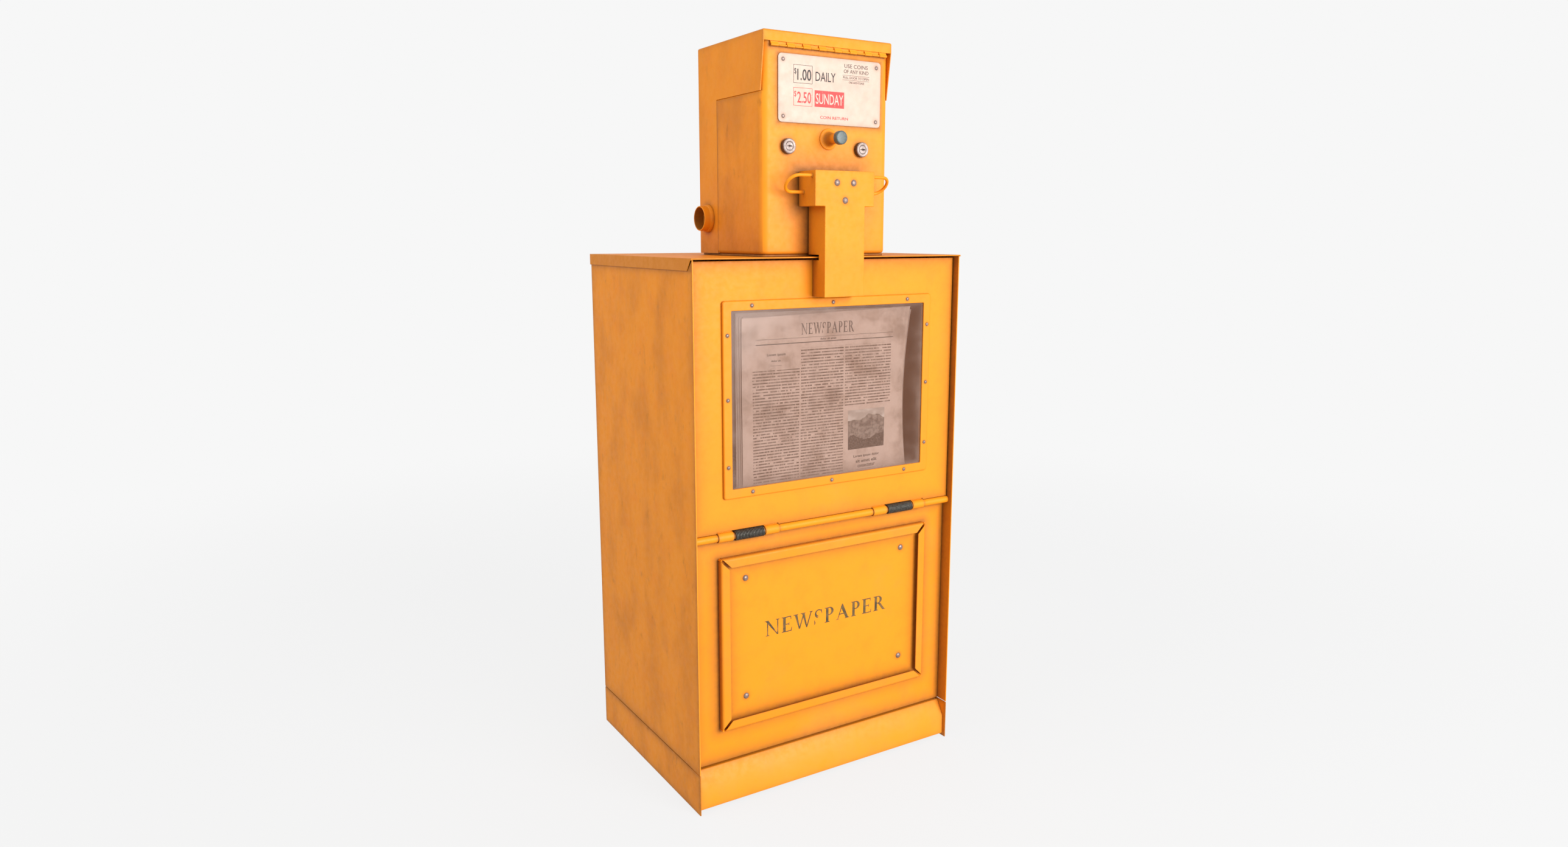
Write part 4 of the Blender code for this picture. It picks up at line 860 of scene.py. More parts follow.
def handle():
    places = [(-0.0158, 1.0171), (0.0158, 1.0171), (0.0, 0.9900)]
    # the handle darkens round its rivets and towards the cabinet top, door and cover: painted shade together with
    # soiling
    sources = [spot(x, HANDLE_Y, z, 0.0046, 0.0022, 0.60) for x, z in places]
    sources += [around("top_cover", 0.004, 0.35), around("door_panel", 0.015, 0.80),
                around("coin_box_cover", 0.015, 0.80)]
    rims = [rim_of("t_handle", 0.003, 0.22)]
    coat = paint("handle", sources, rims, dust=0.12, shift=21.3)
    # the side faces get a darker copy of the coat: painted shade on the sides
    shaded_flank = paint("handle_side_shaded", sources + [around("t_handle", FULLY, 0.24)], rims, dust=0.05, shift=21.3)
    refine("t_handle", [coat, shaded_flank], 0.0008, 3, front=HANDLE_Y, pick=lambda f: 1 if abs(f.normal.x) > 0.9 else 0)
    rivets("t_handle_rivets", places, 0.0051, RIVET_HEIGHT, HANDLE_Y, "door")

    low, high = box_of("pull_loop_left")
    head, centre = -high.x, (low + high) / 2
    wire, half, bend, lean = 0.0026, 0.0176, 0.0168, math.radians(135)
    turn_x = high.x - low.x - wire - bend
    outer = [(0.0, half), (turn_x * 0.45, half)] + arc((turn_x, half - bend), bend, 92, 0, 12)
    outer += [(a, -b) for a, b in reversed(outer)]
    weld = [(wire + r, along) for r, along in ((0.0002, 0.0), (0.0011, 0.0), (0.0004, 0.0016), (0.0002, 0.0016))]
    # the loops darken near the handle: painted shade together with soiling
    coat = paint("loop", [around("t_handle", 0.0025, 0.6)], dust=0.05, shift=22.8)

    def leaning(x, b):
        return x, centre.y + b * math.cos(lean), centre.z + b * math.sin(lean)

    for name, side in zip(SIDES, (-1, 1)):
        mesh = sweep([leaning(side * (head + a), b) for a, b in outer], wire, 20)
        for end in (half, -half):
            lathe([(r, side * (head + d)) for r, d in soften(weld, 0.0003)], "X", leaning(0, end), 24, mesh)
        finish_piece(f"pull_loop_{name}_wire", mesh, coat, "door", f"pull_loop_{name}", smooth=50)
    refine("latch_striker", galvanised, 0.0003)


# --- Coin box ---
def hoop(half, back, turn, radius):
    """A sheet bent round two corners, seen from above."""
    x, y = turn
    return [(half, back)] + arc((x, y), radius, 0, -90, 14) + arc((-x, y), radius, -90, -180, 14) + [(-half, back)]


def coin_box_cover():
    low, high = box_of("coin_box_cover")
    wide, corner_radius, lapped = box_of("coin_box_floor")[1].x + 0.0030, 0.0140, THIN + GAP
    levels = [(0.0046, low.z), (0.0026, low.z + 0.0007), (0.0012, low.z + 0.0020), (0.0003, low.z + 0.0038),
              (0.0, low.z + 0.0058), (0.0, WING - 0.0019), (lapped, WING - GAP), (lapped, high.z)]
    outlines = []
    for inset, z in levels:
        half, radius = wide - inset, corner_radius - inset
        front = COVER_Y + (inset if z < WING - 0.1 else 0.0)
        turn = (half - radius, front + radius)
        core = hoop(half - THIN, high.y, turn, radius - THIN)
        outlines.append([(x, y, z) for x, y in hoop(half, high.y, turn, radius) + core[::-1]])
    holes = [(centre_of(f"lock_plug_{side}"), 0.0101) for side in SIDES] + [(centre_of("return_button"), 0.0089)]
    tools = [lathe(pin(radius, 0.0, 0.05), "Y", (at.x, 0, at.z)) for at, radius in holes]
    tools += [block(-0.0090, 0.0090, 0.0, 0.05, 0.9890, 1.0190), block(-0.2, 0.2, 0.0700, 0.3, WING + 0.0012, 1.3)]
    mesh = flatten(carve(loft(outlines), tools))

    # the cover darkens round and under the pull, by the price plate, bushing, hinge leaf, cabinet top, locks and loops:
    # painted shadow and shade together with soiling
    sources = [*pull_outline(0.0210, 0.84), around("price_plate", 0.0055, 0.66),
               disc("return_button_bushing", 0.0045, 0.50), around("cover_hinge_lower_leaf", 0.005, 0.75),
               around("top_cover", 0.0075, 0.62)]
    sources += [disc(f"lock_body_{side}", 0.0050, 0.66) for side in SIDES]
    sources += [around(f"pull_loop_{side}", 0.0080, 0.45, hollow="Y") for side in SIDES]
    box_low, box_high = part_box("coin_box_cover")
    face_high = Vector((box_high.x, box_low.y + 0.004, box_high.z))
    # the front stays plain gold near its edges and rounded corners, without the paler dust tone and painted sheen of
    # its middle
    coat = paint("cover", sources, dust=0.85, shift=24.6, rim_clear_of_dust_and_sheen=(box_low, face_high, 0.0100, 1.0))
    # the sides darken along the seam lines, and broadly towards the cabinet top: painted shade together with soiling
    seam_grime_and_shade = [around("top_cover", 0.0090, 0.60), around("top_cover", 0.0650, 0.36)]
    for side in (-wide, wide):
        foot, corner, front = (Vector(p) + TO_ROW for p in ((side, high.y, low.z), (side, high.y, WING),
                                                            (side, WING_FRONT, WING)))
        seam_grime_and_shade += [(foot, corner, 0.0, 0.0035, 0.60), (front, corner, 0.0, 0.0035, 0.60)]
    rim = (box_low - Vector((0, 0.1, 0)), box_high, 0.0055, 0.40, "X")
    side_coat = paint("cover_side", seam_grime_and_shade, [rim], 0.50, 0.0, 25.5)
    finish_piece("coin_box_cover_sheet", mesh, [coat, side_coat], replaces="coin_box_cover",
                 pick=lambda f: 1 if abs(f.normal.x) > 0.8 else 0)


def coin_box_hood():
    low, high = box_of("coin_box_hood")
    lip, cover_back = 1.2275, box_of("coin_box_cover")[1].y + GAP
    mesh = prism([(low.y, high.z), (high.y, high.z), (high.y, low.z), (cover_back, low.z), (cover_back, WING),
                  (WING_FRONT, WING), (low.y, lip)], "X", low.x, high.x)
    folds = [e for e in mesh.edges if all(v.co.z > high.z - 1e-5 for v in e.verts)
             or all(v.co.y > high.y - 1e-5 for v in e.verts)]
    bevel_edges(mesh, folds, 0.0030, 5)
    wide, front, back, roof = high.x - THIN, low.y + THIN, high.y - THIN, high.z - THIN
    hollow = prism([(front, roof), (back, roof), (back, 0.85), (-0.02, 0.85), (-0.02, lip + 0.0001),
                    (front, lip + 0.0001)], "X", -wide, wide)
    lock = centre_of("lock_guard_tube")
    hole = lathe(pin(0.0140, -0.14, -0.11), "X", (0, lock.y, lock.z))
    coin_slot = block(0.0300, 0.0560, 0.0985, 0.1015, 1.23, 1.26)
    mesh = flatten(carve(mesh, [hollow, hole, coin_slot]))
    coats = []
    for facing, soot, foot in (("Y", 0.0, 0.0), ("X", 0.30, 0.36), ("Z", 0.30, 0.0)):
        # darker round the guard tube and towards the cabinet top: painted shade together with soiling; the sides also
        # broadly darker towards the foot
        grime_and_shade_sources = [disc("lock_guard_tube", 0.006, 0.6), around("top_cover", 0.010, 0.60), around("top_cover", 0.065, foot)]
        coats.append(paint(f"hood_{facing}", grime_and_shade_sources, [rim_of("coin_box_hood", 0.004, 0.35, facing)], soot, 0.15, 27.0))
    finish_piece("coin_box_hood_sheet", mesh, coats, replaces="coin_box_hood",
                 pick=lambda f: 1 if abs(f.normal.x) > 0.7 else 2 if f.normal.z > 0.7 else 0)
    # the coin box floor darkens towards its edges: painted shade in the corners together with soiling
    coat = paint("box_floor", rims=[rim_of("coin_box_floor", 0.02, 0.8)], dust=0.0, shift=28.0)
    refine("coin_box_floor", coat, 0.0006)


def piano_hinge():
    for node in ("cover_hinge_upper_leaf", "cover_hinge_lower_leaf"):
        # each leaf darkens along its rims: painted shade together with soiling
        refine(node, paint(node, rims=[rim_of(node, 0.0008, 0.30)], dust=0.1, shift=29.0), 0.00015, 2, angle=40)
    low, high = box_of("cover_hinge_pin")
    centre = centre_of("cover_hinge_pin")
    mesh = lathe(soften(pin(high.z - centre.z, low.x, high.x), 0.0002), "X", (0, centre.y, centre.z), 20)
    finish_piece("cover_hinge_pin_wire", mesh, lock_case, replaces="cover_hinge_pin")


def cam_lock(side):
    low, high = box_of(f"lock_body_{side}")
    centre = centre_of(f"lock_body_{side}")
    at = (centre.x, 0, centre.z)
    radius, face, end, seat, bore, shank = high.x - centre.x, low.y, high.y, COVER_Y - GAP, 0.0066, 0.0098
    case = soften([(bore, face + 0.0006), (0.0084, face), (0.0104, face), (radius, face + 0.0016), (radius, seat),
                   (shank, seat), (shank, end), (bore, end)], 0.0005)
    finish_piece(f"lock_{side}_case", lathe(case, "Y", at, 64), [lock_case, lock_face], replaces=f"lock_body_{side}",
                 pick=lambda f: 1 if f.calc_center_median().y - TO_ROW.y < face + 0.0013 else 0)
    low, high = box_of(f"lock_plug_{side}")
    front, back, spindle, key_depth = low.y - 0.0005, end + 0.0005, 0.0040, low.y + 0.0030
    profile = soften([(0.0, front), (bore - GAP, front), (bore - GAP, back), (spindle, back), (spindle, high.y),
                      (0.0, high.y)], 0.0004)
    key_reach, key_half = 0.0047, 0.0008
    keyway = [block(centre.x - key_reach, centre.x + key_reach, low.y - 0.01, key_depth, centre.z - key_half,
                    centre.z + key_half),
              lathe(pin(0.0018, -0.05, key_depth), "Y", at, 24)]
    mesh = flatten(carve(lathe(profile, "Y", at), keyway))

    # the keyway's walls take the dark case metal: painted shade inside the keyway
    def which(f):
        middle = f.calc_center_median() - TO_ROW
        inside = low.y + 0.0006 < middle.y < low.y + 0.004
        return 1 if inside and math.hypot(middle.x - centre.x, middle.z - centre.z) < 0.006 else 0

    finish_piece(f"lock_{side}_plug", mesh, [lock_face, lock_case], f"{side}_lock", f"lock_plug_{side}",
                 pick=which)
    refine(f"lock_cam_{side}", galvanised, 0.0003)


def return_button():
    low, high = box_of("return_button_bushing")
    centre = centre_of("return_button")
    at = (centre.x, 0, centre.z)
    nose, bore, stem_radius, mouth, flange = 0.0085, 0.0058, 0.0034, low.y, high.x - centre.x
    seat, end, step = COVER_Y - GAP, COVER_Y + 0.0120, COVER_Y + 0.0080
    neck = [(nose + 0.0060 * (1 - math.sin(a)), seat - 0.0020 - 0.0110 * (1 - math.cos(a)))
            for a in (math.radians(d) for d in (90, 80, 68, 54, 40, 26, 12))]
    rim = [(flange - 0.0014, seat - 0.0020), (flange - 0.0005, seat - 0.0016), (flange, seat - 0.0008), (flange, seat)]
    profile = [(bore, mouth), (nose, mouth), *neck, *rim, (nose, seat), (nose, end), (stem_radius + GAP, end),
               (stem_radius + GAP, step), (bore, step)]
    # the bushing darkens round the button and along its rim: painted shade together with soiling
    coat = paint("bushing", [disc("return_button", 0.0035, 0.55)], [rim_of("return_button_bushing", 0.002, 0.3)],
                 dust=0.1, shift=30.0)
    finish_piece("return_button_bush", lathe(profile, "Y", at, 64), coat, replaces="return_button_bushing")

    low, high = box_of("return_button")
    cap, face, skirt, roof = high.x - centre.x, low.y, mouth - GAP, low.y + 0.0020
    crown = [(0.0, face), (cap * 0.45, face + 0.0001), (cap * 0.75, face + 0.00035)]
    crown += [(cap - 0.0022 + 0.0022 * math.sin(math.radians(d)), face + 0.0026 - 0.0021 * math.cos(math.radians(d)))
              for d in (15, 35, 55, 75, 90)]
    profile = crown + [(cap, skirt - 0.0005), (cap - 0.0005, skirt), (nose + GAP, skirt), (nose + GAP, roof),
                       (stem_radius, roof), (stem_radius, high.y), (0.0, high.y)]
    mesh = lathe(profile, "Y", at, 64)
    finish_piece("return_button_cap", mesh, slate, "coin_return", "return_button")

    low, high = box_of("return_button_spring")
    spring = finish_piece("return_button_coil", coil("Y", at, 0.0046, low.y, high.y, 9, 20, 0.0005), steel,
                          "coin_return", "return_button_spring", 60)
    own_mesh(spring)


def guard_tube():
    low, high = box_of("lock_guard_tube")
    centre = centre_of("lock_guard_tube")
    at = Vector((0, centre.y, centre.z))
    mouth, side, flange, outer, bore = low.x, high.x, high.z - centre.z, 0.0207, 0.0186
    profile = [(bore, mouth + 0.0006), (bore + 0.0005, mouth), (outer - 0.0006, mouth), (outer, mouth + 0.0007),
               (outer, side - 0.0070)]
    profile += [(outer + 0.0020 * (1 - math.cos(math.radians(d))), side - 0.0070 + 0.0030 * math.sin(math.radians(d)))
                for d in (30, 60, 90)]
    profile += [(flange - 0.0006, side - 0.0028), (flange, side - 0.0020), (flange, side), (bore, side)]
    # the ring darkens round the vault lock and along its rims: painted shade together with soiling
    coat = paint("guard", [disc("vault_lock_body", 0.010, 0.9)], [rim_of("lock_guard_tube", 0.0025, 0.35)], dust=0.15,
                 shift=31.0)
    # the inside of the tube is darker all over: painted shade
    inside = paint("guard_inside_shaded", [around("lock_guard_tube", FULLY, 0.62)], shift=31.5)

    def which(face):
        outward = face.calc_center_median() - at - TO_ROW
        outward.x = 0.0
        return 1 if face.normal.dot(outward) < -0.5 * outward.length else 0

    finish_piece("lock_guard_ring", lathe(profile, "X", at, 72), [coat, inside], replaces="lock_guard_tube", smooth=30,
                 pick=which)
    refine("vault_lock_body", lock_case, 0.0004)
    refine("vault_lock_plug", lock_face, 0.0003)
    refine("vault_lock_cam", galvanised, 0.0003)


# --- Print ---
def type_shape(words, bold=0.0):
    """Words in Blender's own sans face: corner points and faces, about 1 high."""
    curve = bpy.data.curves.new("type", "FONT")
    curve.body, curve.offset, curve.resolution_u = words, bold, 3
    thing = linked("type", curve)
    bpy.context.view_layer.update()
    data = final_mesh(thing)
    shape = [(v.co.x, v.co.y) for v in data.vertices], [tuple(p.vertices) for p in data.polygons]
    bpy.data.meshes.remove(data)
    bpy.data.objects.remove(thing, do_unlink=True)
    bpy.data.curves.remove(curve)
    return shape


THICK, HAIR, SERIF = 0.165, 0.062, 0.085


def slab(x0, x1, foot, up=1):
    """A bracketed serif under (or over) a stem between x0 and x1."""
    a, b, thin, deep = x0 - SERIF, x1 + SERIF, foot + up * 0.022, foot + up * 0.075
    return [(a, foot), (b, foot), (b, thin), (x1, deep), (x0, deep), (a, thin)]


def stem(x0, x1, low=0.0, high=1.0):
    return [(x0, low), (x1, low), (x1, high), (x0, high)]


def bowl(x0, low, high, width, heavy):
    """The bowl of a P or R: a heavy half ring on a stem."""
    x, middle, half = x0 + width * 0.45, (low + high) / 2, (high - low) / 2
    turn = [math.radians(-90 + 180 * i / 16) for i in range(17)]
    outer = [(x + width * 0.55 * math.cos(a), middle + half * math.sin(a)) for a in turn]
    inner = [(x + (width * 0.55 - heavy) * math.cos(a), middle + (half - HAIR) * math.sin(a)) for a in turn]
    return [(x0, low), *outer, (x0, high), (x0, high - HAIR), *reversed(inner), (x0, low + HAIR)]


def curved_stroke():
    """The spine of an S, heavy in the middle."""
    spine, left, right = [], [], []
    for i in range(33):
        s = i / 32
        x, z, wide, tall, angle = (
            (0.335, 0.745, 0.205, 0.23, 25 + 520 * s) if s < 0.5 else (0.305, 0.265, 0.235, 0.24, 365 - 520 * s)
        )
        spine.append((x + wide * math.cos(math.radians(angle)), z + tall * math.sin(math.radians(angle))))
    for i, (x, z) in enumerate(spine):
        ahead, behind = spine[min(i + 1, 32)], spine[max(i - 1, 0)]
        run = Vector((ahead[0] - behind[0], ahead[1] - behind[1])).normalized()
        weight = HAIR / 2 + (THICK * 0.55 - HAIR / 2) * math.exp(-((i - 16) / 6.5) ** 2)
        left.append((x - run.y * weight, z + run.x * weight))
        right.append((x + run.y * weight, z - run.x * weight))
    return left + right[::-1]


def glyphs():
    """Strokes and width of each letter."""
    t = THICK
    n = [stem(0.13, 0.13 + HAIR), [(0.03, 1.0), (0.22, 1.0), (0.80, 0.0), (0.74, 0.0)], stem(0.75, 0.75 + HAIR),
         slab(0.13, 0.13 + HAIR, 0.0), slab(0.75, 0.75 + HAIR, 1.0, -1),
         [(-0.02, 0.978), (-0.02, 1.0), (0.22, 1.0), (0.13, 0.93)]]
    e = [stem(0.12, 0.12 + t), slab(0.12, 0.12 + t, 0.0), slab(0.12, 0.12 + t, 1.0, -1),
         stem(0.12, 0.64, 0.0, HAIR), stem(0.12, 0.60, 1.0 - HAIR, 1.0),
         stem(0.12, 0.50, 0.50 - HAIR / 2, 0.50 + HAIR / 2),
         [(0.52, 1.0), (0.615, 1.0), (0.625, 0.78), (0.60, 0.78), (0.57, 0.93)],
         [(0.54, 0.0), (0.655, 0.0), (0.675, 0.25), (0.65, 0.25), (0.61, 0.08)],
         [(0.48, 0.40), (0.505, 0.40), (0.505, 0.60), (0.48, 0.60), (0.44, 0.50)]]
    w = [[(0.06, 1.0), (0.06 + t, 1.0), (0.40, 0.0), (0.33, 0.0)],
         [(0.33, 0.0), (0.40, 0.0), (0.66, 0.90), (0.60, 0.96)],
         [(0.52, 1.0), (0.52 + t, 1.0), (0.86, 0.0), (0.79, 0.0)], [(0.79, 0.0), (0.86, 0.0), (1.14, 1.0), (1.08, 1.0)],
         slab(0.06, 0.06 + t * 0.9, 1.0, -1), slab(0.52, 0.52 + t * 0.9, 1.0, -1), slab(1.08, 1.13, 1.0, -1)]
    p = [stem(0.12, 0.12 + t), slab(0.12, 0.12 + t, 0.0),
         [(0.035, 0.978), (0.035, 1.0), (0.25, 1.0), (0.25, 0.93), (0.12, 0.93)], bowl(0.12, 0.46, 1.0, 0.50, t * 0.95)]
    r = p[:3] + [bowl(0.12, 0.48, 1.0, 0.50, t * 0.95), [(0.33, 0.52), (0.50, 0.52), (0.82, 0.03), (0.66, 0.0)],
                 [(0.66, 0.0), (0.88, 0.0), (0.88, 0.03), (0.78, 0.05), (0.70, 0.06)]]
    a = [[(0.12, 0.0), (0.175, 0.0), (0.47, 0.92), (0.43, 1.0)],
         [(0.36, 0.83), (0.45, 1.03), (0.50, 1.0), (0.86, 0.0), (0.69, 0.0)],
         stem(0.22, 0.66, 0.32, 0.32 + HAIR), slab(0.125, 0.165, 0.0), slab(0.70, 0.84, 0.0)]
    s = [curved_stroke(), [(0.50, 0.98), (0.535, 0.98), (0.545, 0.70), (0.52, 0.70), (0.48, 0.86)],
         [(0.05, 0.02), (0.085, 0.02), (0.13, 0.14), (0.075, 0.33), (0.045, 0.33)]]
    return {"N": (n, 0.93), "E": (e, 0.72), "W": (w, 1.20), "P": (p, 0.68), "R": (r, 0.86), "A": (a, 0.94),
            "S": (s, 0.62)}


def serif_shape(words):
    """Words in plain serif capitals, 1 high: overlapping strokes merged into one flat shape."""
    drawn, points, faces, at = glyphs(), [], [], 0.0
    for letter in words:
        outlines, width = drawn[letter]
        for outline in outlines:
            stroke = [(at + x, z) for x, z in outline]
            area = sum(a[0] * b[1] - b[0] * a[1] for a, b in zip(stroke, stroke[1:] + stroke[:1]))
            faces.append(list(range(len(points), len(points) + len(stroke))))
            points += [Vector(p) for p in (stroke if area > 0 else reversed(stroke))]
        at += width + 0.06
    found = delaunay_2d_cdt(points, [], faces, 1, 1e-5)
    return [tuple(p) for p in found[0]], [tuple(f) for f, owners in zip(found[2], found[5]) if owners]


RECTANGLE = ([(0, 0), (1, 0), (1, 1), (0, 1)], [(0, 1, 2, 3)])


def add_print(mesh, shape, x0, x1, z0, z1, face):
    """A flat shape fitted to a rectangle, as a thin layer on the surface y = face(x, z)."""
    points, faces = shape
    low = [min(p[axis] for p in points) for axis in (0, 1)]
    high = [max(p[axis] for p in points) for axis in (0, 1)]
    front, back = [], []
    for a, b in points:
        x = x0 + (a - low[0]) / (high[0] - low[0]) * (x1 - x0)
        z = z0 + (b - low[1]) / (high[1] - low[1]) * (z1 - z0)
        y = face(x, z) if callable(face) else face
        front.append(mesh.verts.new((x, y - PRINT, z)))
        back.append(mesh.verts.new((x, y, z)))
    sides = set()
    for face_points in faces:
        mesh.faces.new([front[i] for i in face_points])
        mesh.faces.new([back[i] for i in reversed(face_points)])
        sides.update(zip(face_points, face_points[1:] + face_points[:1]))
    for i, j in sorted(sides):
        if (j, i) not in sides:
            mesh.faces.new((front[i], front[j], back[j], back[i]))
    return mesh


def plate_print(name, material, rows, box=None, face=PLATE_Y):
    """One ink on the price plate: (words, weight, x0, x1, z0, z1) rows, a solid bar where there are no words, and an
    outlined box."""
    mesh, line = bmesh.new(), 0.0006
    if box:
        x0, x1, z0, z1 = box
        for place in ((x0, x1, z0, z0 + line), (x0, x1, z1 - line, z1), (x0, x0 + line, z0 + line, z1 - line),
                      (x1 - line, x1, z0 + line, z1 - line)):
            add_print(mesh, RECTANGLE, *place, face)
    for words, weight, *place in rows:
        add_print(mesh, type_shape(words, weight) if words else RECTANGLE, *place, face)
    finish_piece(f"price_plate_{name}", mesh, material)


def price_plate():
    low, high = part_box("price_plate")
    inset = 0.0090
    corners = [(x, z) for x in (low.x + inset, high.x - inset) for z in (low.z + inset, high.z - inset)]
    # the plate darkens round its screws and along its rim: painted shade together with soiling
    card = stained_card("price", [spot(x, PLATE_Y, z, 0.0022, 0.0026, 0.75) for x, z in corners],
                        [(low, high, 0.0022, 0.40)])
    refine("price_plate", card, 0.0005, 3, front=PLATE_Y)
    rivets("price_plate_screws", corners, 0.0030, 0.0014, PLATE_Y)
    paper, red = (0.56, 0.42, 0.33), (0.50, 0.040, 0.036)
    plate_print("print_black", ink("black", (0.022, 0.019, 0.017), paper, 0.08), [
        ("1.00", 0.012, -0.0590, -0.0330, 1.1735, 1.1905), ("$", 0.0, -0.0648, -0.0606, 1.1815, 1.1912),
        ("DAILY", 0.006, -0.0250, 0.0130, 1.1745, 1.1885),
    ], (-0.0660, -0.0310, 1.1690, 1.1965))
    plate_print("print_small", ink("small", (0.075, 0.045, 0.036), paper, 0.20), [
        ("USE COINS", 0.006, 0.0300, 0.0760, 1.1985, 1.2045), ("OF ANY KIND", 0.006, 0.0290, 0.0775, 1.1905, 1.1962),
        ("", 0.0, 0.0265, 0.0790, 1.1870, 1.1875), ("", 0.0, 0.0265, 0.0790, 1.1800, 1.1805),
        ("PULL DOOR TO OPEN", 0.01, 0.0275, 0.0785, 1.1822, 1.1856),
        ("ONE EACH PLEASE", 0.01, 0.0390, 0.0690, 1.1752, 1.1784),
    ])
    plate_print("print_red", ink("red", red, paper, 0.10), [
        ("2.50", 0.012, -0.0590, -0.0330, 1.1395, 1.1565), ("$", 0.0, -0.0648, -0.0606, 1.1475, 1.1572),
        ("", 0.0, -0.0265, 0.0300, 1.1355, 1.1605), ("COIN RETURN", 0.01, -0.0160, 0.0380, 1.1178, 1.1222),
    ], (-0.0660, -0.0310, 1.1350, 1.1625))
    plate_print("print_white", ink("white", (0.58, 0.45, 0.37), red, 0.05),
                [("SUNDAY", 0.006, -0.0245, 0.0282, 1.1400, 1.1560)], face=PLATE_Y - PRINT)


def card_word():
    mesh = add_print(bmesh.new(), serif_shape("NEWSPAPER"), -0.1240, 0.1290, 0.2738, 0.3020, CARD_Y)
    f = Finish("ink_card_word", 0.55)
    body = f.mottle((0.040, 0.030, 0.006), (0.16, 0.085, 0.014), 60.0, 4.0, 0.35, 0.7)
    worn = f.mottle(body, (0.62, 0.21, 0.016), 1.0, 5.0, 0.50, 0.84, end=0.75, stretch=(45, 45, 60), rough=0.65,
                    shift=3.1)
    finish_piece("card_word", mesh, f.done(worn))


# --- Newspapers ---
PAPER_LOW, PAPER_HIGH = box_of("display_newspaper")
PAGE_TOP, PAGE_LEFT = PAPER_HIGH.z, PAPER_LOW.x + 0.0104
PAPER_Y = PAPER_LOW.y + 0.0024


def right_edge(z):
    """The front page's right edge bows in where it curls away from the pane."""
    fall = (PAGE_TOP - z) / (PAPER_HIGH.z - PAPER_LOW.z)
    return PAPER_HIGH.x + 0.0070 - 0.0150 * math.sin(math.pi * min(max(fall * 1.02, 0.0), 1.0)) ** 0.8


def page_y(x, z):
    curl = max(0.0, (x - 0.085) / 0.075)
    ripple = 0.0006 * math.sin(x * 31 + 0.6) * math.cos(z * 17) + 0.0005 * noise.noise(Vector((x * 16, 0, z * 16)))
    return PAPER_Y + 0.0024 * curl ** 2 + ripple


def sheet_piece(name, material, shift_x, shift_z, tilt, behind, wide, tall, top=PAGE_TOP, rise=0.0, replaces=None):
    """One folded paper's face: a thin curled sheet with both sides."""
    foot = PAPER_LOW.z + 0.0005
    mesh = bmesh.new()
    layers = []
    for depth in (0.0, 0.00030):
        rows = []
        for j in range(tall + 1):
            row = []
            for i in range(wide + 1):
                z = foot + (top + rise * i / wide - foot) * j / tall
                x = PAGE_LEFT + (right_edge(z) - PAGE_LEFT) * i / wide
                place = (x + shift_x + (z - 0.65) * tilt, page_y(x, z) + behind + depth, z + shift_z - x * tilt)
                row.append(mesh.verts.new(place))
            rows.append(row)
        layers.append(rows)
    for rows in layers:
        for low, high in zip(rows, rows[1:]):
            for i in range(wide):
                mesh.faces.new((low[i], low[i + 1], high[i + 1], high[i]))
    rim = [(0, i) for i in range(wide)] + [(j, wide) for j in range(tall)]
    rim += [(tall, i) for i in range(wide, 0, -1)] + [(j, 0) for j in range(tall, 0, -1)]
    bridge(mesh, *([rows[j][i] for j, i in rim] for rows in layers))
    finish_piece(name, mesh, material, "door", replaces, 60)


def picture_material():
    """A newspaper picture: hills, a lake and a sky, all in screened greys."""
    f = Finish("newsprint_picture", 0.9)
    z = f.split(f.place)[2]

    def below_ridge(height, tall, **look):
        ridge = f.maths("MULTIPLY", f.noise(1.0, **look), tall)
        return f.maths("GREATER_THAN", f.maths("ADD", height, ridge), z)

    colour = f.mottle((0.36, 0.28, 0.235), (0.54, 0.44, 0.38), 1.0, 5.0, 0.4, 0.7, stretch=(40, 40, 90))
    slope = f.mottle((0.11, 0.080, 0.065), (0.27, 0.205, 0.17), 150.0, 5.0, 0.35, 0.65, rough=0.7)
    colour = f.mix(below_ridge(0.596, 0.060, detail=3.0, stretch=(17, 0, 0), rough=0.45), colour, slope)
    water = f.mottle((0.20, 0.15, 0.125), (0.42, 0.33, 0.28), 1.0, 4.0, 0.4, 0.6, stretch=(60, 60, 700))
    colour = f.mix(f.maths("LESS_THAN", z, 0.5935), colour, water)
    trees = f.mottle((0.040, 0.028, 0.022), (0.15, 0.11, 0.09), 420.0, 4.0, 0.4, 0.7, rough=0.7)
    return f.done(f.mix(below_ridge(0.574, 0.050, detail=4.0, stretch=(24, 0, 0), shift=5, rough=0.5), colour, trees))


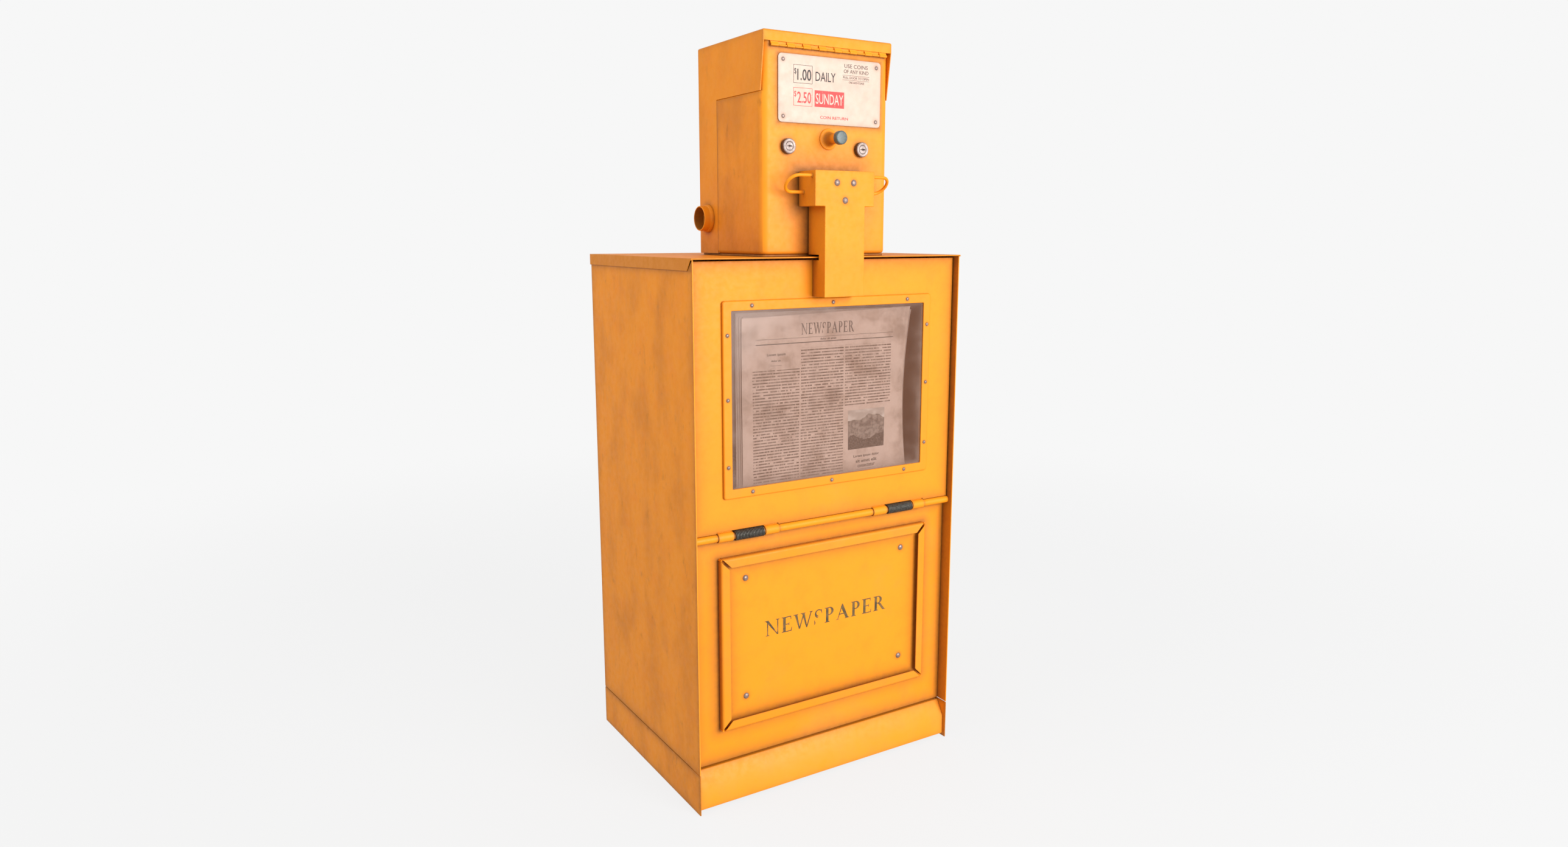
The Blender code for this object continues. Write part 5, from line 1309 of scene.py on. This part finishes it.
def display_newspaper():
    columns = [(-0.1450, -0.0570, 0.500, 0.7230), (-0.0540, 0.0310, 0.500, 0.7560), (0.0340, 0.1300, 0.6500, 0.7560)]
    # the papers behind the front page get a darker tone: painted shade behind it
    front, plain = newsprint("front_page", columns), newsprint("inner_page_shaded", tone=0.62)
    sheet_piece("display_page_front", front, 0.0, 0.0, 0.0, 0.0, 32, 30, PAGE_TOP - 0.0080, 0.0075, "display_newspaper")
    offsets = [(0.0020, -0.0060, 0.002, 0.0007), (-0.0030, -0.0050, -0.006, 0.0014), (-0.0070, -0.0020, -0.009, 0.0021),
               (-0.0100, 0.0, 0.004, 0.0028), (-0.0050, -0.0045, 0.010, 0.0035)]
    for number, offset in enumerate(offsets):
        sheet_piece(f"display_page_{number + 1}", plain, *offset, 20, 20)

    def on_page(x, z):
        return page_y(x, z) - 0.00004

    def tiled(mesh, x0, x1, z0, z1, across, up=1):
        wide, tall = (x1 - x0) / across, (z1 - z0) / up
        for i in range(across):
            for j in range(up):
                a, b = x0 + wide * i, z0 + tall * j
                add_print(mesh, RECTANGLE, a, a + wide, b, b + tall, on_page)

    mesh = bmesh.new()
    add_print(mesh, serif_shape("NEWSPAPER"), -0.0540, 0.0520, 0.7775, 0.7965, on_page)
    for x0, x1, z, tall in ((-0.1390, 0.1340, 0.7725, 0.0005), (-0.1390, 0.1340, 0.7640, 0.0014),
                            (-0.1120, -0.0920, 0.7300, 0.0004), (0.0600, 0.1000, 0.5395, 0.0004)):
        tiled(mesh, x0, x1, z, z + tall, 24)
    bmesh.ops.remove_doubles(mesh, verts=mesh.verts[:], dist=1e-7)
    for words, *place in (
        ("dolor sit amet", -0.0160, 0.0160, 0.7672, 0.7708), ("Lorem ipsum", -0.1185, -0.0840, 0.7450, 0.7500),
        ("dolor sit", -0.1110, -0.0930, 0.7365, 0.7395), ("Lorem ipsum dolor", 0.0530, 0.1080, 0.5600, 0.5655),
        ("sit amet elit", 0.0580, 0.1030, 0.5515, 0.5570), ("consectetur", 0.0620, 0.0990, 0.5430, 0.5485),
    ):
        add_print(mesh, type_shape(words, 0.02), *place, on_page)
    finish_piece("display_page_print", mesh, ink("page", (0.045, 0.032, 0.026), (0.34, 0.25, 0.20), 0.18), "door")
    mesh = bmesh.new()
    tiled(mesh, 0.0410, 0.1180, 0.5760, 0.6440, 10, 10)
    finish_piece("display_page_picture", mesh, picture_material(), "door")


def newspaper_stack():
    """Folded papers for sale, each a folded wad with a round spine at the front."""
    low, high = box_of("newspaper_stack")
    sides = newsprint("wad", smudges=False, lines=True)
    columns = [(x, x + 0.090, low.y + TO_ROW.y + 0.025, high.y + TO_ROW.y - 0.075) for x in (-0.142, -0.045, 0.052)]
    count, leaves, spare = 14, 6, 0.0035
    each = (high.z - low.z) / count
    x0, x1, y0, y1 = low.x + spare + 0.002, high.x - spare - 0.002, low.y + spare + 0.001, high.y - spare - 0.001
    mesh = bmesh.new()
    for number in range(count):
        dx, dy = chance.uniform(-spare, spare), chance.uniform(-spare, spare)
        turn = math.radians(chance.uniform(-0.8, 0.8))
        z0, z1 = low.z + each * number, low.z + each * (number + 1) - 0.00015
        half, leaf = (z1 - z0) / 2, (z1 - z0) / leaves
        outline = arc((y0 + half, z0 + half), half, 90, 270, 9)
        for k in range(leaves):
            z = z0 + leaf * k
            reach = y1 - chance.uniform(0.0, 0.0022)
            outline += [(reach, z + 0.00002), (reach, z + leaf - 0.00012)]
            if k < leaves - 1:
                outline.append((y1 - 0.0035, z + leaf - 0.00004))
        before = set(mesh.verts)
        prism(outline, "X", x0, x1, mesh)
        fresh = [v for v in mesh.verts if v not in before]
        bmesh.ops.rotate(mesh, verts=fresh, cent=(0, (y0 + y1) / 2, 0), matrix=Matrix.Rotation(turn, 3, "Z"))
        bmesh.ops.translate(mesh, verts=fresh, vec=(dx, dy, 0))
    materials = [sides, newsprint("wad_top", columns, smudges=False, lying=True)]
    finish_piece("newspaper_stack_wads", mesh, materials, "cabinet", "newspaper_stack", 50,
                 lambda f: 1 if abs(f.normal.z) > 0.9 else 0)


# --- Making everything ---
for make in (base, cabinet_shell, card_frame, card_word, rod_line, door_sheet, window, handle, coin_box_cover,
             coin_box_hood, piano_hinge, price_plate):
    make()
for lock_side in SIDES:
    cam_lock(lock_side)
return_button()
guard_tube()
for hidden in ("mechanism_plate", "coin_mechanism", "coin_chute", "cash_tray", "latch_yoke", "latch_pawl",
               "paper_shelf", "paper_retainer"):
    refine(hidden, galvanised, 0.0003)
display_newspaper()
newspaper_stack()

# --- Floor, light and camera ---
BACKDROP = 0.93           # brightness of the pale backdrop
DOME = 0.72               # brightness of the white dome that lights the object
FLOOR_BOUNCE = 0.62       # brightness of the floor as the object sees it
FLOOR_RADIUS = 5.0


def floor():
    f = Finish("floor")
    diffuse = f.node("ShaderNodeBsdfDiffuse")
    diffuse.inputs["Color"].default_value = (0.60, 0.60, 0.60, 1.0)
    glow = f.node("ShaderNodeEmission")
    seen = f.node("ShaderNodeLightPath").outputs["Is Camera Ray"]
    f.feed(glow.inputs["Strength"], f.ramp(seen, 0.0, 1.0, FLOOR_BOUNCE, BACKDROP))
    away = f.vector("LENGTH", f.place, out="Value")
    blend, fade, clear = (f.node(f"ShaderNode{kind}") for kind in ("MixShader", "MixShader", "BsdfTransparent"))
    for socket, value in (
        (blend.inputs[0], 0.12), (blend.inputs[1], glow.outputs[0]), (blend.inputs[2], diffuse.outputs[0]),
        (fade.inputs[0], f.ramp(away, FLOOR_RADIUS * 0.20, FLOOR_RADIUS * 0.6)), (fade.inputs[1], blend.outputs[0]),
        (fade.inputs[2], clear.outputs[0]), (f.tree.nodes["Material Output"].inputs["Surface"], fade.outputs[0]),
    ):
        f.feed(socket, value)
    mesh = bmesh.new()
    bmesh.ops.create_circle(mesh, cap_ends=True, segments=96, radius=FLOOR_RADIUS)
    ground = as_object(mesh, "floor")
    ground.data.materials.append(f.material)


def studio():
    world = bpy.data.worlds.new("studio")
    world.use_nodes = True
    bpy.context.scene.world = world
    tree = world.node_tree
    dome, seen = tree.nodes["Background"], tree.nodes.new("ShaderNodeBackground")
    dome.inputs["Color"].default_value = (1.0, 1.0, 1.0, 1.0)
    dome.inputs["Strength"].default_value = DOME
    seen.inputs["Color"].default_value = (BACKDROP, BACKDROP, BACKDROP, 1.0)
    path, either = tree.nodes.new("ShaderNodeLightPath"), tree.nodes.new("ShaderNodeMixShader")
    for source, socket in (
        (path.outputs["Is Camera Ray"], either.inputs[0]), (dome.outputs[0], either.inputs[1]),
        (seen.outputs[0], either.inputs[2]), (either.outputs[0], tree.nodes["World Output"].inputs["Surface"]),
    ):
        tree.links.new(source, socket)
    middle = (cad_bounds[0] + cad_bounds[1]) / 2
    for name, away, size, power in (
        ("key", Vector((0.9, -3.4, 0.75)), 2.6, 166.0), ("fill", Vector((-3.0, 0.3, 1.9)), 2.4, 40.0),
    ):
        lamp = bpy.data.lights.new(name, "AREA")
        lamp.shape, lamp.size, lamp.energy = "DISK", size, power
        thing = linked(name, lamp)
        thing.location = middle + away
        thing.rotation_mode = "QUATERNION"
        thing.rotation_quaternion = (-away).to_track_quat("-Z", "Y")


def camera():
    data = bpy.data.cameras.new("camera")
    data.sensor_width, data.lens = 36.0, 23.720
    thing = linked("camera", data)
    thing.location = Vector((-0.9585, -1.3864, 0.9394)) + TO_ROW
    thing.rotation_euler = (math.radians(90 - 10.443), 0.0, math.radians(-31.784))
    bpy.context.scene.camera = thing


floor()
studio()
camera()
bpy.context.scene.view_settings.view_transform = "Standard"
